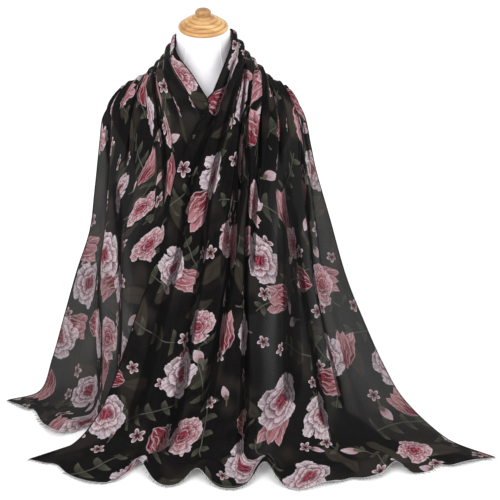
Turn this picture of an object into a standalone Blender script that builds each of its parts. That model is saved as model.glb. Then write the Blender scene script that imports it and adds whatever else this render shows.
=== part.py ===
"""A sheer voile scarf laid round the neck of a limbless dress form, with both ends brought to the front.

The scarf is one rectangle of cloth. It runs as a single strip from the hem of the under fall, up over the
form's right shoulder, round the back of the neck, over its left shoulder and down to the hem of the over fall,
which is spread across the whole front. The strip's shape is a table of sections across the cloth, with folds
laid on it.

Units are metres, +Z is up and the form faces -Y. The origin is on the surface, under the middle of the stand's
base.
"""

import random
from collections import namedtuple
from math import cos, pi, sin

import bmesh
import bpy
import numpy as np
from mathutils import Vector
from mathutils.bvhtree import BVHTree

# Driving dimensions of the cloth
CLOTH_WALL = 0.0014
SEAM_GAP = 0.0003
FORM_CLEARANCE = 0.0014
LAYER_CLEARANCE = 0.0030
GATHER_REACH = 0.32  # share of each fall's length over which the gathers at the neck fade out
FOLD_ONSET = 0.20  # share of each fall's length over which its folds grow to their full height
COLUMNS = {"under_fall": 27, "neck_wrap": 24, "over_fall": 54}
ROWS = {"under_fall": 21, "neck_wrap": 12, "over_fall": 26}
ROW_CROWDING = 1.25  # over 1 brings a fall's rows closer together towards its shoulder

# Driving dimensions of the fringe
STRANDS_PER_COLUMN = 2
STRAND_LENGTH = 0.008
STRAND_WIDTH_SHARE = 0.10  # of the hem between two columns
STRAND_LEAN = 0.22
STRIP_WIDTH = 0.0016
STRIP_HEIGHT = 0.0010
FRINGE_GAP = 0.0006
STRAND_COMBING = 7  # columns over which the strands' directions are averaged, so that none cross in a notch
FLOOR_CLEARANCE = 0.0004

# Driving dimensions of the dress form and its stand
FORM_SEGMENTS = 28
FORM_RINGS = 24
CAP_SEGMENTS = 24
BASE_SEGMENTS = 32
POLE_SEGMENTS = 16
NECK_TOP = 0.800
FORM_BOTTOM = 0.200
BASE_RADIUS = 0.120
BASE_HEIGHT = 0.018
POLE_RADIUS = 0.011
FLANGE_RADIUS = 0.040
FLANGE_HEIGHT = 0.006

# One row for each section across the cloth: three points from the selvedge at the neck to the outer selvedge.
Section = namedtuple("Section", "inner middle outer")
UNDER_SECTIONS = (
    Section((0.100, -0.212, 0.000), (-0.148, -0.240, 0.000), (-0.418, -0.102, 0.000)),
    Section((0.098, -0.198, 0.022), (-0.140, -0.222, 0.022), (-0.350, -0.083, 0.012)),
    Section((0.092, -0.184, 0.105), (-0.128, -0.206, 0.100), (-0.320, -0.071, 0.088)),
    Section((0.085, -0.170, 0.235), (-0.113, -0.190, 0.218), (-0.289, -0.065, 0.194)),
    Section((0.075, -0.152, 0.375), (-0.101, -0.170, 0.345), (-0.259, -0.060, 0.296)),
    Section((0.062, -0.130, 0.510), (-0.093, -0.149, 0.465), (-0.229, -0.055, 0.387)),
    Section((0.040, -0.102, 0.630), (-0.090, -0.124, 0.575), (-0.214, -0.050, 0.484)),
    Section((-0.012, -0.077, 0.727), (-0.098, -0.092, 0.650), (-0.201, -0.036, 0.580)),
    Section((-0.047, -0.048, 0.768), (-0.106, -0.050, 0.692), (-0.193, -0.016, 0.624)),
)
NECK_SECTIONS = (
    Section((-0.052, 0.012, 0.776), (-0.100, 0.006, 0.702), (-0.166, 0.008, 0.652)),
    Section((-0.043, 0.042, 0.772), (-0.084, 0.058, 0.696), (-0.136, 0.072, 0.640)),
    Section((0.000, 0.058, 0.770), (0.000, 0.082, 0.712), (0.000, 0.100, 0.650)),
    Section((0.044, 0.042, 0.778), (0.087, 0.058, 0.700), (0.137, 0.072, 0.642)),
    Section((0.054, 0.012, 0.786), (0.104, 0.006, 0.710), (0.166, 0.008, 0.655)),
)
OVER_SECTIONS = (
    Section((0.048, -0.050, 0.773), (0.108, -0.056, 0.698), (0.191, -0.026, 0.630)),
    Section((0.013, -0.088, 0.694), (0.105, -0.110, 0.644), (0.204, -0.050, 0.577)),
    Section((-0.022, -0.118, 0.634), (0.098, -0.141, 0.570), (0.216, -0.060, 0.523)),
    Section((-0.056, -0.138, 0.541), (0.093, -0.165, 0.475), (0.245, -0.065, 0.418)),
    Section((-0.080, -0.159, 0.421), (0.095, -0.189, 0.365), (0.279, -0.070, 0.292)),
    Section((-0.131, -0.181, 0.279), (0.100, -0.213, 0.245), (0.316, -0.080, 0.194)),
    Section((-0.177, -0.203, 0.143), (0.106, -0.237, 0.132), (0.362, -0.100, 0.091)),
    Section((-0.218, -0.221, 0.053), (0.110, -0.263, 0.050), (0.408, -0.142, 0.028)),
    Section((-0.273, -0.252, 0.000), (0.112, -0.308, 0.002), (0.491, -0.235, 0.000)),
    Section((-0.351, -0.294, 0.000), (0.112, -0.378, 0.000), (0.575, -0.288, 0.000)),
)
SECTIONS = UNDER_SECTIONS + NECK_SECTIONS + OVER_SECTIONS
LEFT_SEAM = len(UNDER_SECTIONS)
RIGHT_SEAM = LEFT_SEAM + len(NECK_SECTIONS) - 1
LAST_SECTION = len(SECTIONS) - 1
# Each stretch of the strip: the section it starts at and the one it ends at.
STRETCHES = {
    "under_fall": (0, LEFT_SEAM),
    "neck_wrap": (LEFT_SEAM, RIGHT_SEAM),
    "over_fall": (RIGHT_SEAM, LAST_SECTION),
}

# One row for each pleat that the cloth is gathered into round the neck: its place and width as shares of the
# cloth's width, and its height in metres.
Pleat = namedtuple("Pleat", "place width height")
GATHERS = (
    Pleat(0.04, 0.030, 0.0050),
    Pleat(0.17, 0.045, 0.0090),
    Pleat(0.31, 0.040, 0.0065),
    Pleat(0.42, 0.034, 0.0085),
    Pleat(0.57, 0.052, 0.0100),
    Pleat(0.72, 0.038, 0.0060),
    Pleat(0.83, 0.034, 0.0080),
    Pleat(0.95, 0.040, 0.0045),
)

# One row for each fold, a ridge that runs down a fall. Its place and width are shares of the cloth's width, and
# its heights are in metres.
Fold = namedtuple("Fold", "at_neck at_hem width_neck width_hem height_chest height_hem")
FOLDS = {
    "under_fall": (
        Fold(0.97, 0.96, 0.028, 0.030, 0.003, 0.004),
        Fold(0.82, 0.80, 0.045, 0.050, 0.012, 0.018),
        Fold(0.68, 0.63, 0.045, 0.045, 0.009, 0.006),
        Fold(0.48, 0.46, 0.045, 0.045, 0.005, 0.004),
        Fold(0.30, 0.30, 0.050, 0.045, 0.004, 0.004),
        Fold(0.12, 0.12, 0.045, 0.045, 0.004, 0.004),
    ),
    "over_fall": (
        Fold(0.05, 0.03, 0.030, 0.024, 0.003, 0.003),
        Fold(0.15, 0.13, 0.035, 0.045, 0.008, 0.006),
        Fold(0.27, 0.235, 0.030, 0.030, 0.008, 0.015),
        Fold(0.37, 0.30, 0.035, 0.030, 0.009, 0.004),
        Fold(0.47, 0.365, 0.030, 0.032, 0.018, 0.014),
        Fold(0.58, 0.435, 0.028, 0.030, 0.007, 0.005),
        Fold(0.68, 0.505, 0.030, 0.034, 0.013, 0.017),
        Fold(0.77, 0.62, 0.026, 0.040, 0.006, 0.008),
        Fold(0.85, 0.74, 0.032, 0.034, 0.018, 0.010),
        Fold(0.93, 0.79, 0.025, 0.024, 0.005, 0.012),
        Fold(0.98, 0.92, 0.020, 0.040, 0.002, 0.006),
    ),
}

# One row for each lobe or notch in a hem's plan: its place and width as shares of the cloth's width, and how
# far it brings the hem forward, in metres, or sets it back where negative.
HemWave = namedtuple("HemWave", "place width forward")
HEM_WAVES = {
    "under_fall": (
        HemWave(0.80, 0.070, 0.034),
        HemWave(0.66, 0.050, -0.016),
        HemWave(0.45, 0.060, 0.008),
        HemWave(0.22, 0.060, -0.008),
    ),
    "over_fall": (
        HemWave(0.135, 0.070, 0.034),
        HemWave(0.235, 0.024, -0.038),
        HemWave(0.300, 0.030, 0.014),
        HemWave(0.362, 0.024, -0.026),
        HemWave(0.430, 0.035, 0.012),
        HemWave(0.505, 0.024, -0.044),
        HemWave(0.585, 0.040, 0.014),
        HemWave(0.781, 0.022, -0.024),
    ),
}
HEM_WAVE_REACH = 0.16  # share of a fall's length, up from its hem, that the lobes and notches fade out over

# One row for each ring of the torso: its height, its half width, and its depth to the front and to the back.
Ring = namedtuple("Ring", "height half_width front back")
FORM_OUTLINE = (
    Ring(FORM_BOTTOM, 0.146, 0.098, 0.104),
    Ring(0.260, 0.156, 0.106, 0.114),
    Ring(0.330, 0.143, 0.100, 0.098),
    Ring(0.400, 0.122, 0.094, 0.080),
    Ring(0.470, 0.130, 0.100, 0.084),
    Ring(0.530, 0.148, 0.112, 0.092),
    Ring(0.575, 0.166, 0.113, 0.098),
    Ring(0.610, 0.182, 0.104, 0.098),
    Ring(0.636, 0.186, 0.092, 0.092),
    Ring(0.658, 0.170, 0.080, 0.084),
    Ring(0.678, 0.138, 0.070, 0.077),
    Ring(0.696, 0.104, 0.062, 0.070),
    Ring(0.714, 0.076, 0.056, 0.062),
    Ring(0.734, 0.059, 0.052, 0.055),
    Ring(0.762, 0.051, 0.050, 0.051),
    Ring(NECK_TOP, 0.050, 0.050, 0.050),
)

# The turned cap's outline above the neck, from its rim to the top of its knob: radius and height.
CapPoint = namedtuple("CapPoint", "radius height")
CAP_OUTLINE = (
    CapPoint(0.0450, 0.0003),
    CapPoint(0.0468, 0.0020),
    CapPoint(0.0468, 0.0050),
    CapPoint(0.0448, 0.0070),
    CapPoint(0.0415, 0.0078),
    CapPoint(0.0405, 0.0105),
    CapPoint(0.0350, 0.0128),
    CapPoint(0.0340, 0.0155),
    CapPoint(0.0275, 0.0180),
    CapPoint(0.0262, 0.0205),
    CapPoint(0.0190, 0.0235),
    CapPoint(0.0140, 0.0275),
    CapPoint(0.0138, 0.0300),
    CapPoint(0.0158, 0.0325),
    CapPoint(0.0155, 0.0365),
    CapPoint(0.0125, 0.0395),
    CapPoint(0.0060, 0.0410),
)

# One row for each surface finish.
Finish = namedtuple("Finish", "colour roughness metallic")
FINISHES = {
    "printed_voile": Finish((0.012, 0.011, 0.012), 0.85, 0.0),
    "frayed_yarn": Finish((0.350, 0.330, 0.320), 0.90, 0.0),
    "form_cover": Finish((0.900, 0.880, 0.900), 0.80, 0.0),
    "honey_wood": Finish((0.640, 0.370, 0.140), 0.35, 0.0),
    "stand_metal": Finish((0.600, 0.600, 0.620), 0.30, 1.0),
    "stand_paint": Finish((0.850, 0.850, 0.850), 0.45, 0.0),
}


def clear_scene():
    for thing in list(bpy.data.objects):
        bpy.data.objects.remove(thing, do_unlink=True)


def finish_material(name):
    """The named finish as a Principled material, made once."""
    if name in bpy.data.materials:
        return bpy.data.materials[name]
    finish = FINISHES[name]
    material = bpy.data.materials.new(name)
    material.use_nodes = True
    surface = material.node_tree.nodes["Principled BSDF"]
    surface.inputs["Base Color"].default_value = (*finish.colour, 1.0)
    surface.inputs["Roughness"].default_value = finish.roughness
    surface.inputs["Metallic"].default_value = finish.metallic
    return material


def add_object(name, points, faces, finish, smooth=True):
    """A mesh object with its faces turned outwards."""
    mesh = bpy.data.meshes.new(name)
    mesh.from_pydata([tuple(map(float, point)) for point in points], [], faces)
    work = bmesh.new()
    work.from_mesh(mesh)
    bmesh.ops.recalc_face_normals(work, faces=work.faces)
    work.to_mesh(mesh)
    work.free()
    if smooth:
        mesh.shade_smooth()
    mesh.materials.append(finish_material(finish))
    thing = bpy.data.objects.new(name, mesh)
    bpy.context.scene.collection.objects.link(thing)
    return thing


def smooth_rows(rows, place):
    """The value at a place along a table of rows, on a Catmull-Rom curve through them."""
    rows = np.asarray(rows, float)
    last = len(rows) - 1
    low = min(int(place), last - 1)
    t = place - low
    before = rows[low - 1] if low > 0 else 2 * rows[0] - rows[1]
    after = rows[low + 2] if low + 2 <= last else 2 * rows[last] - rows[last - 1]
    start, end = rows[low], rows[low + 1]
    bend = 2 * before - 5 * start + 4 * end - after
    twist = -before + 3 * start - 3 * end + after
    return 0.5 * (2 * start + (end - before) * t + bend * t**2 + twist * t**3)


def ease(value):
    """A smooth step from 0 to 1."""
    value = np.clip(value, 0.0, 1.0)
    return value * value * (3 - 2 * value)


def turned(name, outline, finish, segments):
    """A solid of revolution about Z from an outline of radii and heights, closed by flat discs."""
    angles = [2 * pi * step / segments for step in range(segments)]
    points = [(r * cos(a), r * sin(a), z) for r, z in outline for a in angles]
    faces = []
    for ring in range(len(outline) - 1):
        for step in range(segments):
            after = (step + 1) % segments
            low, high = ring * segments, (ring + 1) * segments
            faces.append((low + step, low + after, high + after, high + step))
    faces.append(tuple(range(segments)))
    top = (len(outline) - 1) * segments
    faces.append(tuple(range(top, top + segments)))
    return add_object(name, points, faces, finish)


def build_torso():
    """The limbless torso with its neck, from rings that are half ellipses to the front and to the back."""
    places = np.linspace(0, len(FORM_OUTLINE) - 1, FORM_RINGS)
    rows = [smooth_rows(FORM_OUTLINE, place) for place in places]
    points = []
    for height, half_width, front, back in rows:
        for step in range(FORM_SEGMENTS):
            angle = 2 * pi * step / FORM_SEGMENTS
            depth = back if sin(angle) > 0 else front
            points.append((half_width * cos(angle), depth * sin(angle), height))
    faces = []
    for ring in range(FORM_RINGS - 1):
        for step in range(FORM_SEGMENTS):
            after = (step + 1) % FORM_SEGMENTS
            low, high = ring * FORM_SEGMENTS, (ring + 1) * FORM_SEGMENTS
            faces.append((low + step, low + after, high + after, high + step))
    faces.append(tuple(range(FORM_SEGMENTS)))
    top = (FORM_RINGS - 1) * FORM_SEGMENTS
    faces.append(tuple(range(top, top + FORM_SEGMENTS)))
    return add_object("form_torso", points, faces, "form_cover")


def build_neck_cap():
    outline = [(point.radius, NECK_TOP + point.height) for point in CAP_OUTLINE]
    return turned("neck_cap", outline, "honey_wood", CAP_SEGMENTS)


def build_stand():
    """The round base, and the pole whose flange carries the torso."""
    chamfer = 0.003
    turned(
        "stand_base",
        [
            (BASE_RADIUS, 0.0),
            (BASE_RADIUS, BASE_HEIGHT - chamfer),
            (BASE_RADIUS - chamfer, BASE_HEIGHT),
        ],
        "stand_paint",
        BASE_SEGMENTS,
    )
    flange_top = FORM_BOTTOM - SEAM_GAP
    flange_foot = flange_top - FLANGE_HEIGHT
    turned(
        "stand_pole",
        [
            (POLE_RADIUS, BASE_HEIGHT + SEAM_GAP),
            (POLE_RADIUS, flange_foot),
            (FLANGE_RADIUS, flange_foot),
            (FLANGE_RADIUS, flange_top),
        ],
        "stand_metal",
        POLE_SEGMENTS,
    )


def across(section, u):
    """The point at share u of the cloth's width, on the arc through a section's three points."""
    inner, middle, outer = section
    return (2 * u - 1) * (u - 1) * inner + 4 * u * (1 - u) * middle + u * (2 * u - 1) * outer


def fall_progress(place):
    """How far down its fall a place along the strip lies: 0 at the shoulder seam and 1 at the hem."""
    if place < LEFT_SEAM:
        return (LEFT_SEAM - place) / LEFT_SEAM
    if place > RIGHT_SEAM:
        return (place - RIGHT_SEAM) / (LAST_SECTION - RIGHT_SEAM)
    return 0.0


def bump(u, centre, width):
    return np.exp(-(((u - centre) / width) ** 2))


def gather_height(u, progress):
    """The small pleats that the cloth is gathered into at the neck."""
    pleats = sum(pleat.height * bump(u, pleat.place, pleat.width) for pleat in GATHERS)
    return pleats * (1 - ease(progress / GATHER_REACH))


def fold_height(u, progress, folds):
    """How far a fall's folds stand out at share u of its width."""
    height = np.zeros_like(u)
    for fold in folds:
        centre = fold.at_neck + (fold.at_hem - fold.at_neck) * progress
        width = fold.width_neck + (fold.width_hem - fold.width_neck) * progress
        tall = fold.height_chest + (fold.height_hem - fold.height_chest) * progress
        height += tall * ease(progress / FOLD_ONSET) * bump(u, centre, width)
    return height


def hem_forward(u, progress, waves):
    """How far a hem's lobes and notches move the cloth forward at share u of its width."""
    fade = ease((progress - 1 + HEM_WAVE_REACH) / HEM_WAVE_REACH)
    return fade * sum(wave.forward * bump(u, wave.place, wave.width) for wave in waves)


def unit(vectors):
    return vectors / np.linalg.norm(vectors, axis=-1, keepdims=True)


def grid_normals(grid):
    """Unit normals of a grid of points, pointing away from the form."""
    along = np.gradient(grid, axis=0)
    over = np.gradient(grid, axis=1)
    return unit(np.cross(along, over))


def surface_tree(points, faces):
    return BVHTree.FromPolygons([tuple(map(float, point)) for point in points], faces)


def push_clear(grid, tree, clearance, reach):
    """Moves each point that lies inside a surface, or nearer to it than the clearance, out to the clearance."""
    for index in np.ndindex(grid.shape[:2]):
        point = Vector(grid[index])
        place, normal, _, _ = tree.find_nearest(point, reach)
        if place is not None and (point - place).dot(normal) < clearance:
            grid[index] = place + normal * clearance


def grid_faces(rows, columns):
    faces = []
    for row in range(rows - 1):
        for column in range(columns - 1):
            here = row * columns + column
            faces.append((here, here + 1, here + columns + 1, here + columns))
    return faces


def row_places(name):
    """Where a stretch's rows lie along the strip, closer together at a fall's shoulder."""
    start, end = STRETCHES[name]
    share = np.linspace(0, 1, ROWS[name])
    if end == LEFT_SEAM:
        share = 1 - (1 - share) ** ROW_CROWDING
    elif start == RIGHT_SEAM:
        share = share**ROW_CROWDING
    return start + (end - start) * share


def cloth_grids(name, obstacles):
    """The inner and outer faces of one stretch of the scarf, as grids of points."""
    start, end = STRETCHES[name]
    places = row_places(name)
    u = np.linspace(0, 1, COLUMNS[name])
    base = np.empty((len(places), len(u), 3))
    height, forward = np.zeros(base.shape[:2]), np.zeros(base.shape[:2])
    for row, place in enumerate(places):
        section = smooth_rows(SECTIONS, place)
        progress = fall_progress(place)
        base[row] = [across(section, share) for share in u]
        height[row] = gather_height(u, progress)
        if name in FOLDS:
            height[row] += fold_height(u, progress, FOLDS[name])
            forward[row] = hem_forward(u, progress, HEM_WAVES[name])
    base[..., 2] = np.maximum(base[..., 2], 0.0)
    for tree, clearance, reach in obstacles:
        push_clear(base, tree, clearance, reach)
    inner = base + grid_normals(base) * height[..., None]
    inner[..., 1] -= forward
    inner[..., 2] = np.maximum(inner[..., 2], 0.0)
    part_seams(inner, start, end)
    return inner, inner + grid_normals(inner) * CLOTH_WALL


def part_seams(grid, start, end):
    """Draws the ends that meet at a shoulder back by half the gap between pieces."""
    for at_seam, edge, neighbour in ((start, 0, 1), (end, -1, -2)):
        if at_seam in (LEFT_SEAM, RIGHT_SEAM):
            step = grid[neighbour] - grid[edge]
            grid[edge] += unit(step) * SEAM_GAP


def wall_mesh(name, inner, outer, finish):
    """A closed wall between two grids of the same size."""
    rows, columns = inner.shape[:2]
    count = rows * columns
    points = np.concatenate([inner.reshape(-1, 3), outer.reshape(-1, 3)])
    inside = grid_faces(rows, columns)
    faces = [face[::-1] for face in inside] + [tuple(count + corner for corner in face) for face in inside]
    rim = list(range(columns))
    rim += [row * columns + columns - 1 for row in range(1, rows)]
    rim += [(rows - 1) * columns + column for column in range(columns - 2, -1, -1)]
    rim += [row * columns for row in range(rows - 2, 0, -1)]
    for here, there in zip(rim, rim[1:] + rim[:1], strict=True):
        faces.append((here, there, count + there, count + here))
    return add_object(name, points, faces, finish)


def combed(directions):
    """The directions, each averaged with its neighbours'."""
    half = STRAND_COMBING // 2
    padded = np.pad(directions, ((half, half), (0, 0)), mode="edge")
    kernel = np.ones(STRAND_COMBING)
    return unit(np.stack([np.convolve(padded[:, axis], kernel, mode="valid") for axis in range(3)], axis=1))


def hem_line(inner, outer, at_start):
    """Along the hem: the lower edge's points, the way up through the wall, and the way out, square to both."""
    edge, neighbour, high = (inner[0], inner[1], outer[0]) if at_start else (inner[-1], inner[-2], outer[-1])
    rise = unit(high - edge)
    out = unit(np.cross(np.gradient(edge, axis=0), rise))
    facing = np.sign(np.sum(out * (edge - neighbour), axis=1, keepdims=True))
    return edge, rise, out * facing


def strand_stations(segments):
    """Places along the hem, as fractional columns: each column, and the two sides of each strand's root."""
    half = 0.5 * STRAND_WIDTH_SHARE
    middles = (np.arange(STRANDS_PER_COLUMN) + 0.5) / STRANDS_PER_COLUMN
    places, rooted = [], []
    for segment in range(segments):
        places.append(float(segment))
        rooted.append(False)
        for middle in middles:
            places += [segment + middle - half, segment + middle + half]
            rooted += [True, False]
    return np.array(places + [float(segments)]), rooted


def read_line(values, places):
    index = np.arange(len(values))
    return np.stack([np.interp(places, index, values[:, axis]) for axis in range(values.shape[1])], axis=1)


def build_fringe(name, inner, outer, at_start):
    """An eyelash fringe: tapered strands whose roots are fused into a narrow strip just outside the hem."""
    chance = random.Random(name)
    edge, rise, out = hem_line(inner, outer, at_start)
    places, rooted = strand_stations(len(edge) - 1)
    combing = read_line(combed(out), places)
    edge, rise, out = (read_line(values, places) for values in (edge, rise, out))
    foot = edge + rise * FLOOR_CLEARANCE + out * FRINGE_GAP
    front = foot + out * STRIP_WIDTH
    for line in (foot, front):
        line[:, 2] = np.maximum(line[:, 2], FLOOR_CLEARANCE)
    corners = [foot, front, front + rise * STRIP_HEIGHT, foot + rise * STRIP_HEIGHT]
    points = list(np.stack(corners, axis=1).reshape(-1, 3))
    last = 4 * (len(places) - 1)
    faces = [(0, 1, 2, 3), (last + 3, last + 2, last + 1, last)]
    for station, is_root in enumerate(rooted):
        here, there = 4 * station, 4 * (station + 1)
        for corner in range(4):
            after = (corner + 1) % 4
            if corner != 1 or not is_root:
                faces.append((here + corner, here + after, there + after, there + corner))
        if is_root:
            root = [here + 1, here + 2, there + 2, there + 1]
            side = points[there + 1] - points[here + 1]
            lean = side / np.linalg.norm(side) * chance.uniform(-STRAND_LEAN, STRAND_LEAN)
            reach = STRAND_LENGTH * chance.uniform(0.75, 1.15)
            tip = np.mean([points[corner] for corner in root], axis=0) + (combing[station] + lean) * reach
            tip[2] = max(tip[2], 2 * FLOOR_CLEARANCE)
            points.append(tip)
            for corner in range(4):
                faces.append((root[corner], root[(corner + 1) % 4], len(points) - 1))
    add_object(name, points, faces, "frayed_yarn", smooth=False)


def build_scarf(torso):
    """The scarf's three stretches, each clear of the form, with the over fall clear of the under fall."""
    form_points = [vertex.co[:] for vertex in torso.data.vertices]
    form_faces = [tuple(face.vertices) for face in torso.data.polygons]
    on_form = (surface_tree(form_points, form_faces), FORM_CLEARANCE, 0.05)
    under = cloth_grids("under_fall", [on_form])
    rows, columns = under[1].shape[:2]
    outer_faces = [face[::-1] for face in grid_faces(rows, columns)]
    on_under = (surface_tree(under[1].reshape(-1, 3), outer_faces), LAYER_CLEARANCE, 0.012)
    grids = {
        "under_fall": under,
        "neck_wrap": cloth_grids("neck_wrap", [on_form]),
        "over_fall": cloth_grids("over_fall", [on_form, on_under]),
    }
    for name, (inner, outer) in grids.items():
        wall_mesh(name, inner, outer, "printed_voile")
    build_fringe("under_hem_fringe", *grids["under_fall"], at_start=True)
    build_fringe("over_hem_fringe", *grids["over_fall"], at_start=False)


def main():
    clear_scene()
    torso = build_torso()
    build_neck_cap()
    build_stand()
    build_scarf(torso)


main()
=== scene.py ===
"""The looks of a sheer floral scarf laid round the neck of a limbless dress form.

The scarf is one rectangle of voile. Its shape is a table of sections across the cloth, with gathers, folds
and fine drag lines laid on it. The same strip is cut at the shoulders into the three stretches of the frame.
The print is mixed from small pattern fields in the cloth's own flat coordinates, over a ground with painted
shade where the cloth lies doubled or creased and painted light where it lies single.

Units are metres, +Z is up and the form faces -Y.
"""

import logging
import math
from dataclasses import dataclass, field
from enum import Enum
from typing import NamedTuple

import bmesh
import bpy
import numpy as np
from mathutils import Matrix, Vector
from mathutils.bvhtree import BVHTree


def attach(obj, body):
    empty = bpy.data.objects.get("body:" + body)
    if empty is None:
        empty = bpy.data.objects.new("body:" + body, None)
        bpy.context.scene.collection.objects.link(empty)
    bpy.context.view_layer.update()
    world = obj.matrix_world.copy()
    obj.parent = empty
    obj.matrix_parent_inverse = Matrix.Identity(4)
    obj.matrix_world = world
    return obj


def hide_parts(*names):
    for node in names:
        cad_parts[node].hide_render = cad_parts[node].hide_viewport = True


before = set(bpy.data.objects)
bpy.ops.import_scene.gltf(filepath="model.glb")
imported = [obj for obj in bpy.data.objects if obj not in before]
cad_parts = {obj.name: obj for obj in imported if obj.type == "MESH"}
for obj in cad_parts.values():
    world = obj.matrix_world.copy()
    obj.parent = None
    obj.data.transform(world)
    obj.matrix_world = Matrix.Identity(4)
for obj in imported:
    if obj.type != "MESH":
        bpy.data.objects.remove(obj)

LOG = logging.getLogger("voile_scarf")
BODY = "root"
CLOTH_WIDTH = 0.95
FLAT_LAYER = "flat"
LAYERS_ATTRIBUTE = "cloth_layers"
DOUBLED_DENSITY = 0.85
Point = tuple[float, float, float]
Colour = tuple[float, float, float]


class Node(Enum):
    """Nodes of the frame."""

    OVER_FALL = "over_fall"
    UNDER_FALL = "under_fall"
    NECK_WRAP = "neck_wrap"
    OVER_FRINGE = "over_hem_fringe"
    UNDER_FRINGE = "under_hem_fringe"
    TORSO = "form_torso"
    CAP = "neck_cap"
    POLE = "stand_pole"
    BASE = "stand_base"


class Slot(Enum):
    """Material slots of the record."""

    VOILE = "printed_voile"
    YARN = "frayed_yarn"
    COVER = "form_cover"
    WOOD = "honey_wood"
    METAL = "stand_metal"
    PAINT = "stand_paint"


class Section(NamedTuple):
    """Three points across the cloth, from the selvedge at the neck to the outer one."""

    inner: Point
    middle: Point
    outer: Point


class Pleat(NamedTuple):
    """A gather at the neck: place and width as shares of the cloth's width, and height."""

    place: float
    width: float
    height: float


class Fold(NamedTuple):
    """A ridge down a fall: places and widths as shares of the cloth's width, and heights."""

    at_neck: float
    at_hem: float
    width_neck: float
    width_hem: float
    height_chest: float
    height_hem: float


class HemWave(NamedTuple):
    """A lobe or notch in a hem's plan, and how far it brings the hem forward."""

    place: float
    width: float
    forward: float


class Curl(NamedTuple):
    """A stretch of hem that lifts off the floor: its place and width, and how high it rises."""

    place: float
    width: float
    rise: float


class Crease(NamedTuple):
    """A line down a fall where cloth is tucked in, or stands out where its depth is negative.

    Its line is given by how far down the fall it passes and by its place across the cloth. Its density says
    how much more closely the cloth lies in layers there; the material paints the cloth darker there as
    painted shade, or lighter as painted light where the density is negative.
    """

    line: tuple[tuple[float, float], ...]
    width: float
    depth: float
    density: float


class Buckle(NamedTuple):
    """A soft ridge across the train: its two ends as place and progress, its height and its width."""

    start: tuple[float, float]
    end: tuple[float, float]
    height: float
    width: float


class Ring(NamedTuple):
    """A ring of the torso: its height, half width, and depth to the front and to the back."""

    height: float
    half_width: float
    front: float
    back: float


class TurnPoint(NamedTuple):
    """A point of a turned outline."""

    radius: float
    height: float


UNDER_SECTIONS = (
    Section((0.100, -0.212, 0.000), (-0.148, -0.240, 0.000), (-0.418, -0.102, 0.000)),
    Section((0.098, -0.198, 0.022), (-0.140, -0.222, 0.022), (-0.350, -0.083, 0.012)),
    Section((0.092, -0.184, 0.105), (-0.128, -0.206, 0.100), (-0.320, -0.071, 0.088)),
    Section((0.085, -0.170, 0.235), (-0.113, -0.190, 0.218), (-0.289, -0.065, 0.194)),
    Section((0.075, -0.152, 0.375), (-0.101, -0.170, 0.345), (-0.259, -0.060, 0.296)),
    Section((0.062, -0.130, 0.510), (-0.093, -0.149, 0.465), (-0.229, -0.055, 0.387)),
    Section((0.040, -0.102, 0.630), (-0.090, -0.124, 0.575), (-0.214, -0.050, 0.484)),
    Section((-0.012, -0.077, 0.727), (-0.098, -0.092, 0.650), (-0.201, -0.036, 0.580)),
    Section((-0.047, -0.048, 0.768), (-0.106, -0.050, 0.692), (-0.193, -0.016, 0.624)),
)
NECK_SECTIONS = (
    Section((-0.052, 0.012, 0.776), (-0.100, 0.006, 0.702), (-0.166, 0.008, 0.652)),
    Section((-0.043, 0.042, 0.772), (-0.084, 0.058, 0.696), (-0.136, 0.072, 0.640)),
    Section((0.000, 0.058, 0.770), (0.000, 0.082, 0.712), (0.000, 0.100, 0.650)),
    Section((0.044, 0.042, 0.778), (0.087, 0.058, 0.700), (0.137, 0.072, 0.642)),
    Section((0.054, 0.012, 0.786), (0.104, 0.006, 0.710), (0.166, 0.008, 0.655)),
)
OVER_SECTIONS = (
    Section((0.048, -0.050, 0.773), (0.108, -0.056, 0.698), (0.191, -0.026, 0.630)),
    Section((0.013, -0.088, 0.694), (0.105, -0.110, 0.644), (0.204, -0.050, 0.577)),
    Section((-0.022, -0.118, 0.634), (0.098, -0.141, 0.570), (0.216, -0.060, 0.523)),
    Section((-0.056, -0.138, 0.541), (0.093, -0.165, 0.475), (0.245, -0.065, 0.418)),
    Section((-0.080, -0.159, 0.421), (0.095, -0.189, 0.365), (0.279, -0.070, 0.292)),
    Section((-0.131, -0.181, 0.279), (0.100, -0.213, 0.245), (0.316, -0.080, 0.194)),
    Section((-0.177, -0.203, 0.143), (0.106, -0.237, 0.132), (0.362, -0.100, 0.091)),
    Section((-0.218, -0.221, 0.053), (0.110, -0.263, 0.050), (0.408, -0.142, 0.028)),
    Section((-0.273, -0.252, 0.000), (0.112, -0.308, 0.002), (0.491, -0.235, 0.000)),
    Section((-0.351, -0.294, 0.000), (0.112, -0.378, 0.000), (0.575, -0.288, 0.000)),
)
SECTIONS = np.array(UNDER_SECTIONS + NECK_SECTIONS + OVER_SECTIONS)
LEFT_SEAM = len(UNDER_SECTIONS)
RIGHT_SEAM = LEFT_SEAM + len(NECK_SECTIONS) - 1
LAST_SECTION = len(SECTIONS) - 1

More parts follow.
